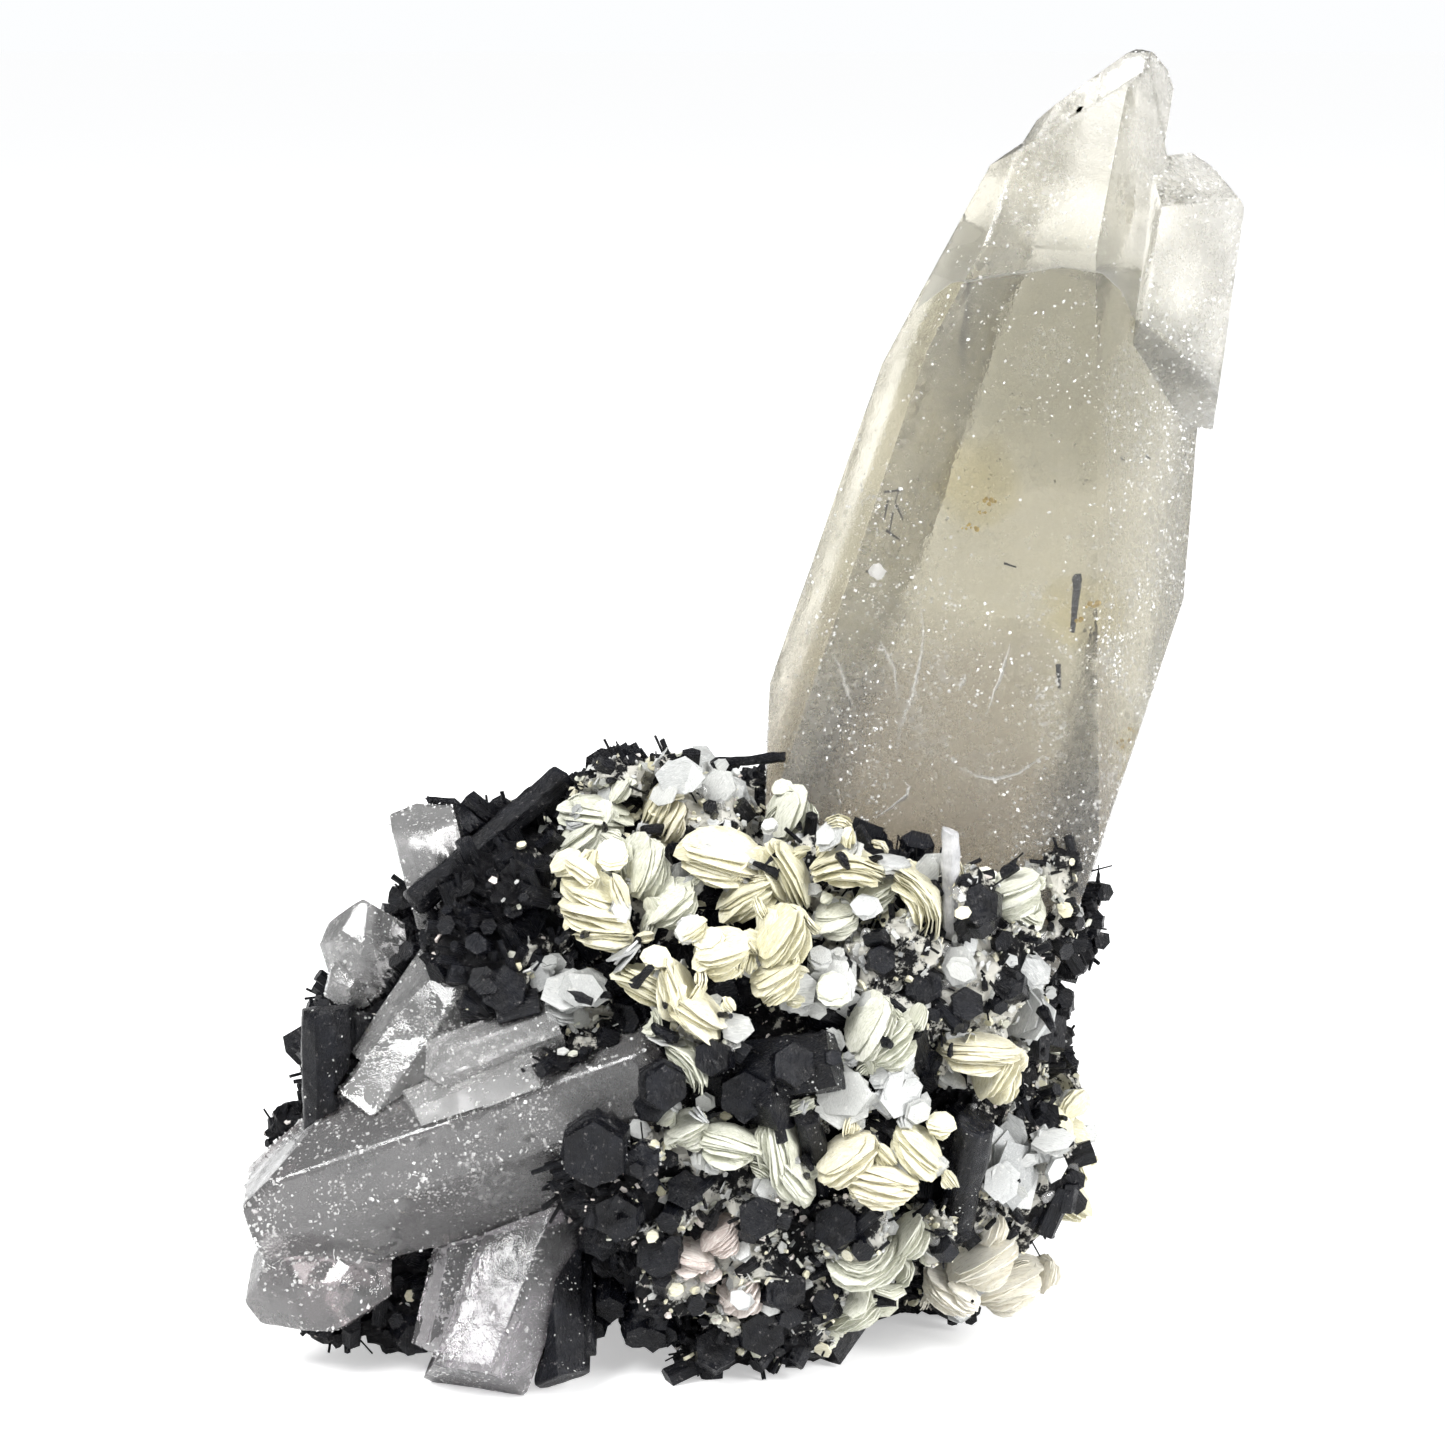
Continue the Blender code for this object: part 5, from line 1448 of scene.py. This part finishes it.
def dusted(name, node, longest, share, density, size, seed, slot="smoky_quartz"):
    """White flecks just under a crystal's faces, as dense as a rule says."""
    shape = bmesh.new()
    shape.from_mesh(shrunken(node, 0.00006, longest))
    shape.normal_update()
    grow = []
    dust = []
    for vert in shape.verts:
        whole = [edge for edge in vert.link_edges if len(edge.link_faces) == 2]
        on_edge = any(edge.calc_face_angle() > EDGE_ANGLE for edge in whole)
        grow.extend(vert.normal)
        dust.append(share(vert.co / MM, vert.normal, on_edge))
    base = mesh_of(shape, name)
    add_values(base, grow=grow, dust=dust)
    finish, sink = (WHITE, -0.9) if slot == "muscovite" else (FLECK, 0.5)
    scattered(
        name, BAR_TREE, base, "dust", finish, slot, density, size, (0.02, 0.10),
        sides=4, tilt=1.2, sink=sink, seed=seed,
    )


enclosed()
dust_sheets()
grey_cores()
plates()
knobs()
dusted("tall_crystal_dust", "smoky_quartz_main", 0.0016, tall_dust, 7.5, (0.03, 0.18), 77)
dusted("lying_crystal_dust", "smoky_quartz_lying", 0.0010, lying_dust, 5.0, (0.04, 0.26), 83)
for step, node in enumerate(SMALL_QUARTZ):
    dusted(node + "_dust", node, 0.0009, small_dust, 5.0, (0.03, 0.18), 91 + step, "clear_quartz")
for step, place in enumerate(("big", "front", "middle", "bottom", "right", "left")):
    node = "schorl_" + place
    dusted(node + "_specks", node, 0.0009, black_dust, 2.4, (0.03, 0.15), 121 + step, "muscovite")


# Floor, light and camera

SKY_LIGHT = 0.60
SKY_GLOSS = 0.20
FLOOR_GLOW = 0.45
FLOOR_REACH = 60.0
FLOOR_DROP = 0.00005


def softbox(name, at, to, size, power):
    """A soft rectangular lamp that points at a place."""
    lamp = bpy.data.lights.new(name, "AREA")
    lamp.shape = "RECTANGLE"
    lamp.size, lamp.size_y = size
    lamp.energy = power
    obj = put(name, lamp)
    obj.location = at
    obj.rotation_euler = (Vector(to) - Vector(at)).to_track_quat("-Z", "Y").to_euler()


def stage():
    """The floor, the soft room and its two lamps."""
    floor_mesh = bpy.data.meshes.new("floor")
    corners = [(x * FLOOR_REACH, y * FLOOR_REACH, 0.0) for x, y in ((-1, -1), (1, -1), (1, 1), (-1, 1))]
    floor_mesh.from_pydata(corners, [], [(0, 1, 2, 3)])
    paper = bpy.data.materials.new("paper")
    paper.use_nodes = True
    tree = paper.node_tree
    seen = new(tree, "ShaderNodeLightPath").outputs
    seen = num(tree, "MAXIMUM", seen["Is Camera Ray"], seen["Is Transmission Ray"])
    wire(
        tree,
        tree.nodes["Principled BSDF"],
        Base_Color=(0.93, 0.93, 0.93, 1.0),
        Roughness=0.9,
        Specular_IOR_Level=0.1,
        Emission_Color=(1.0, 1.0, 1.0, 1.0),
        Emission_Strength=num(tree, "MULTIPLY", seen, FLOOR_GLOW),
    )
    floor_mesh.materials.append(paper)
    floor = put("floor", floor_mesh)
    floor.location.z = -FLOOR_DROP

    sky = bpy.data.worlds.new("soft_room")
    bpy.context.scene.world = sky
    sky.use_nodes = True
    tree = sky.node_tree
    path = new(tree, "ShaderNodeLightPath").outputs
    clear = num(tree, "MAXIMUM", path["Is Camera Ray"], path["Is Transmission Ray"])
    level = num(tree, "ADD", SKY_LIGHT, num(tree, "MULTIPLY", clear, 1.0 - SKY_LIGHT))
    level = num(tree, "SUBTRACT", level, num(tree, "MULTIPLY", path["Is Glossy Ray"], SKY_LIGHT - SKY_GLOSS))
    ground = tree.nodes["Background"]
    ground.inputs[0].default_value = (0.98, 0.99, 1.0, 1.0)
    tree.links.new(level, ground.inputs[1])

    softbox("window", (-0.40, -0.50, 0.80), (0.0, 0.0, 0.04), (0.5, 0.5), 12.0)
    softbox("fill", (0.70, -0.45, 0.40), (0.0, 0.0, 0.04), (0.3, 0.5), 9.0)


stage()


SENSOR = 36.0


def camera():
    """The camera at the picture's own angle."""
    lens = bpy.data.cameras.new("camera")
    lens.sensor_width = SENSOR
    lens.lens = SENSOR * CAMERA_DISTANCE / (PHOTO_PIXELS / PIXELS_PER_MM * MM)
    lens.clip_start = 0.01
    obj = put("camera", lens)
    obj.location = EYE
    obj.rotation_euler = (math.pi / 2.0 - CAMERA_RISE, 0.0, 0.0)
    bpy.context.scene.camera = obj
    bpy.context.scene.view_settings.view_transform = "Standard"


camera()
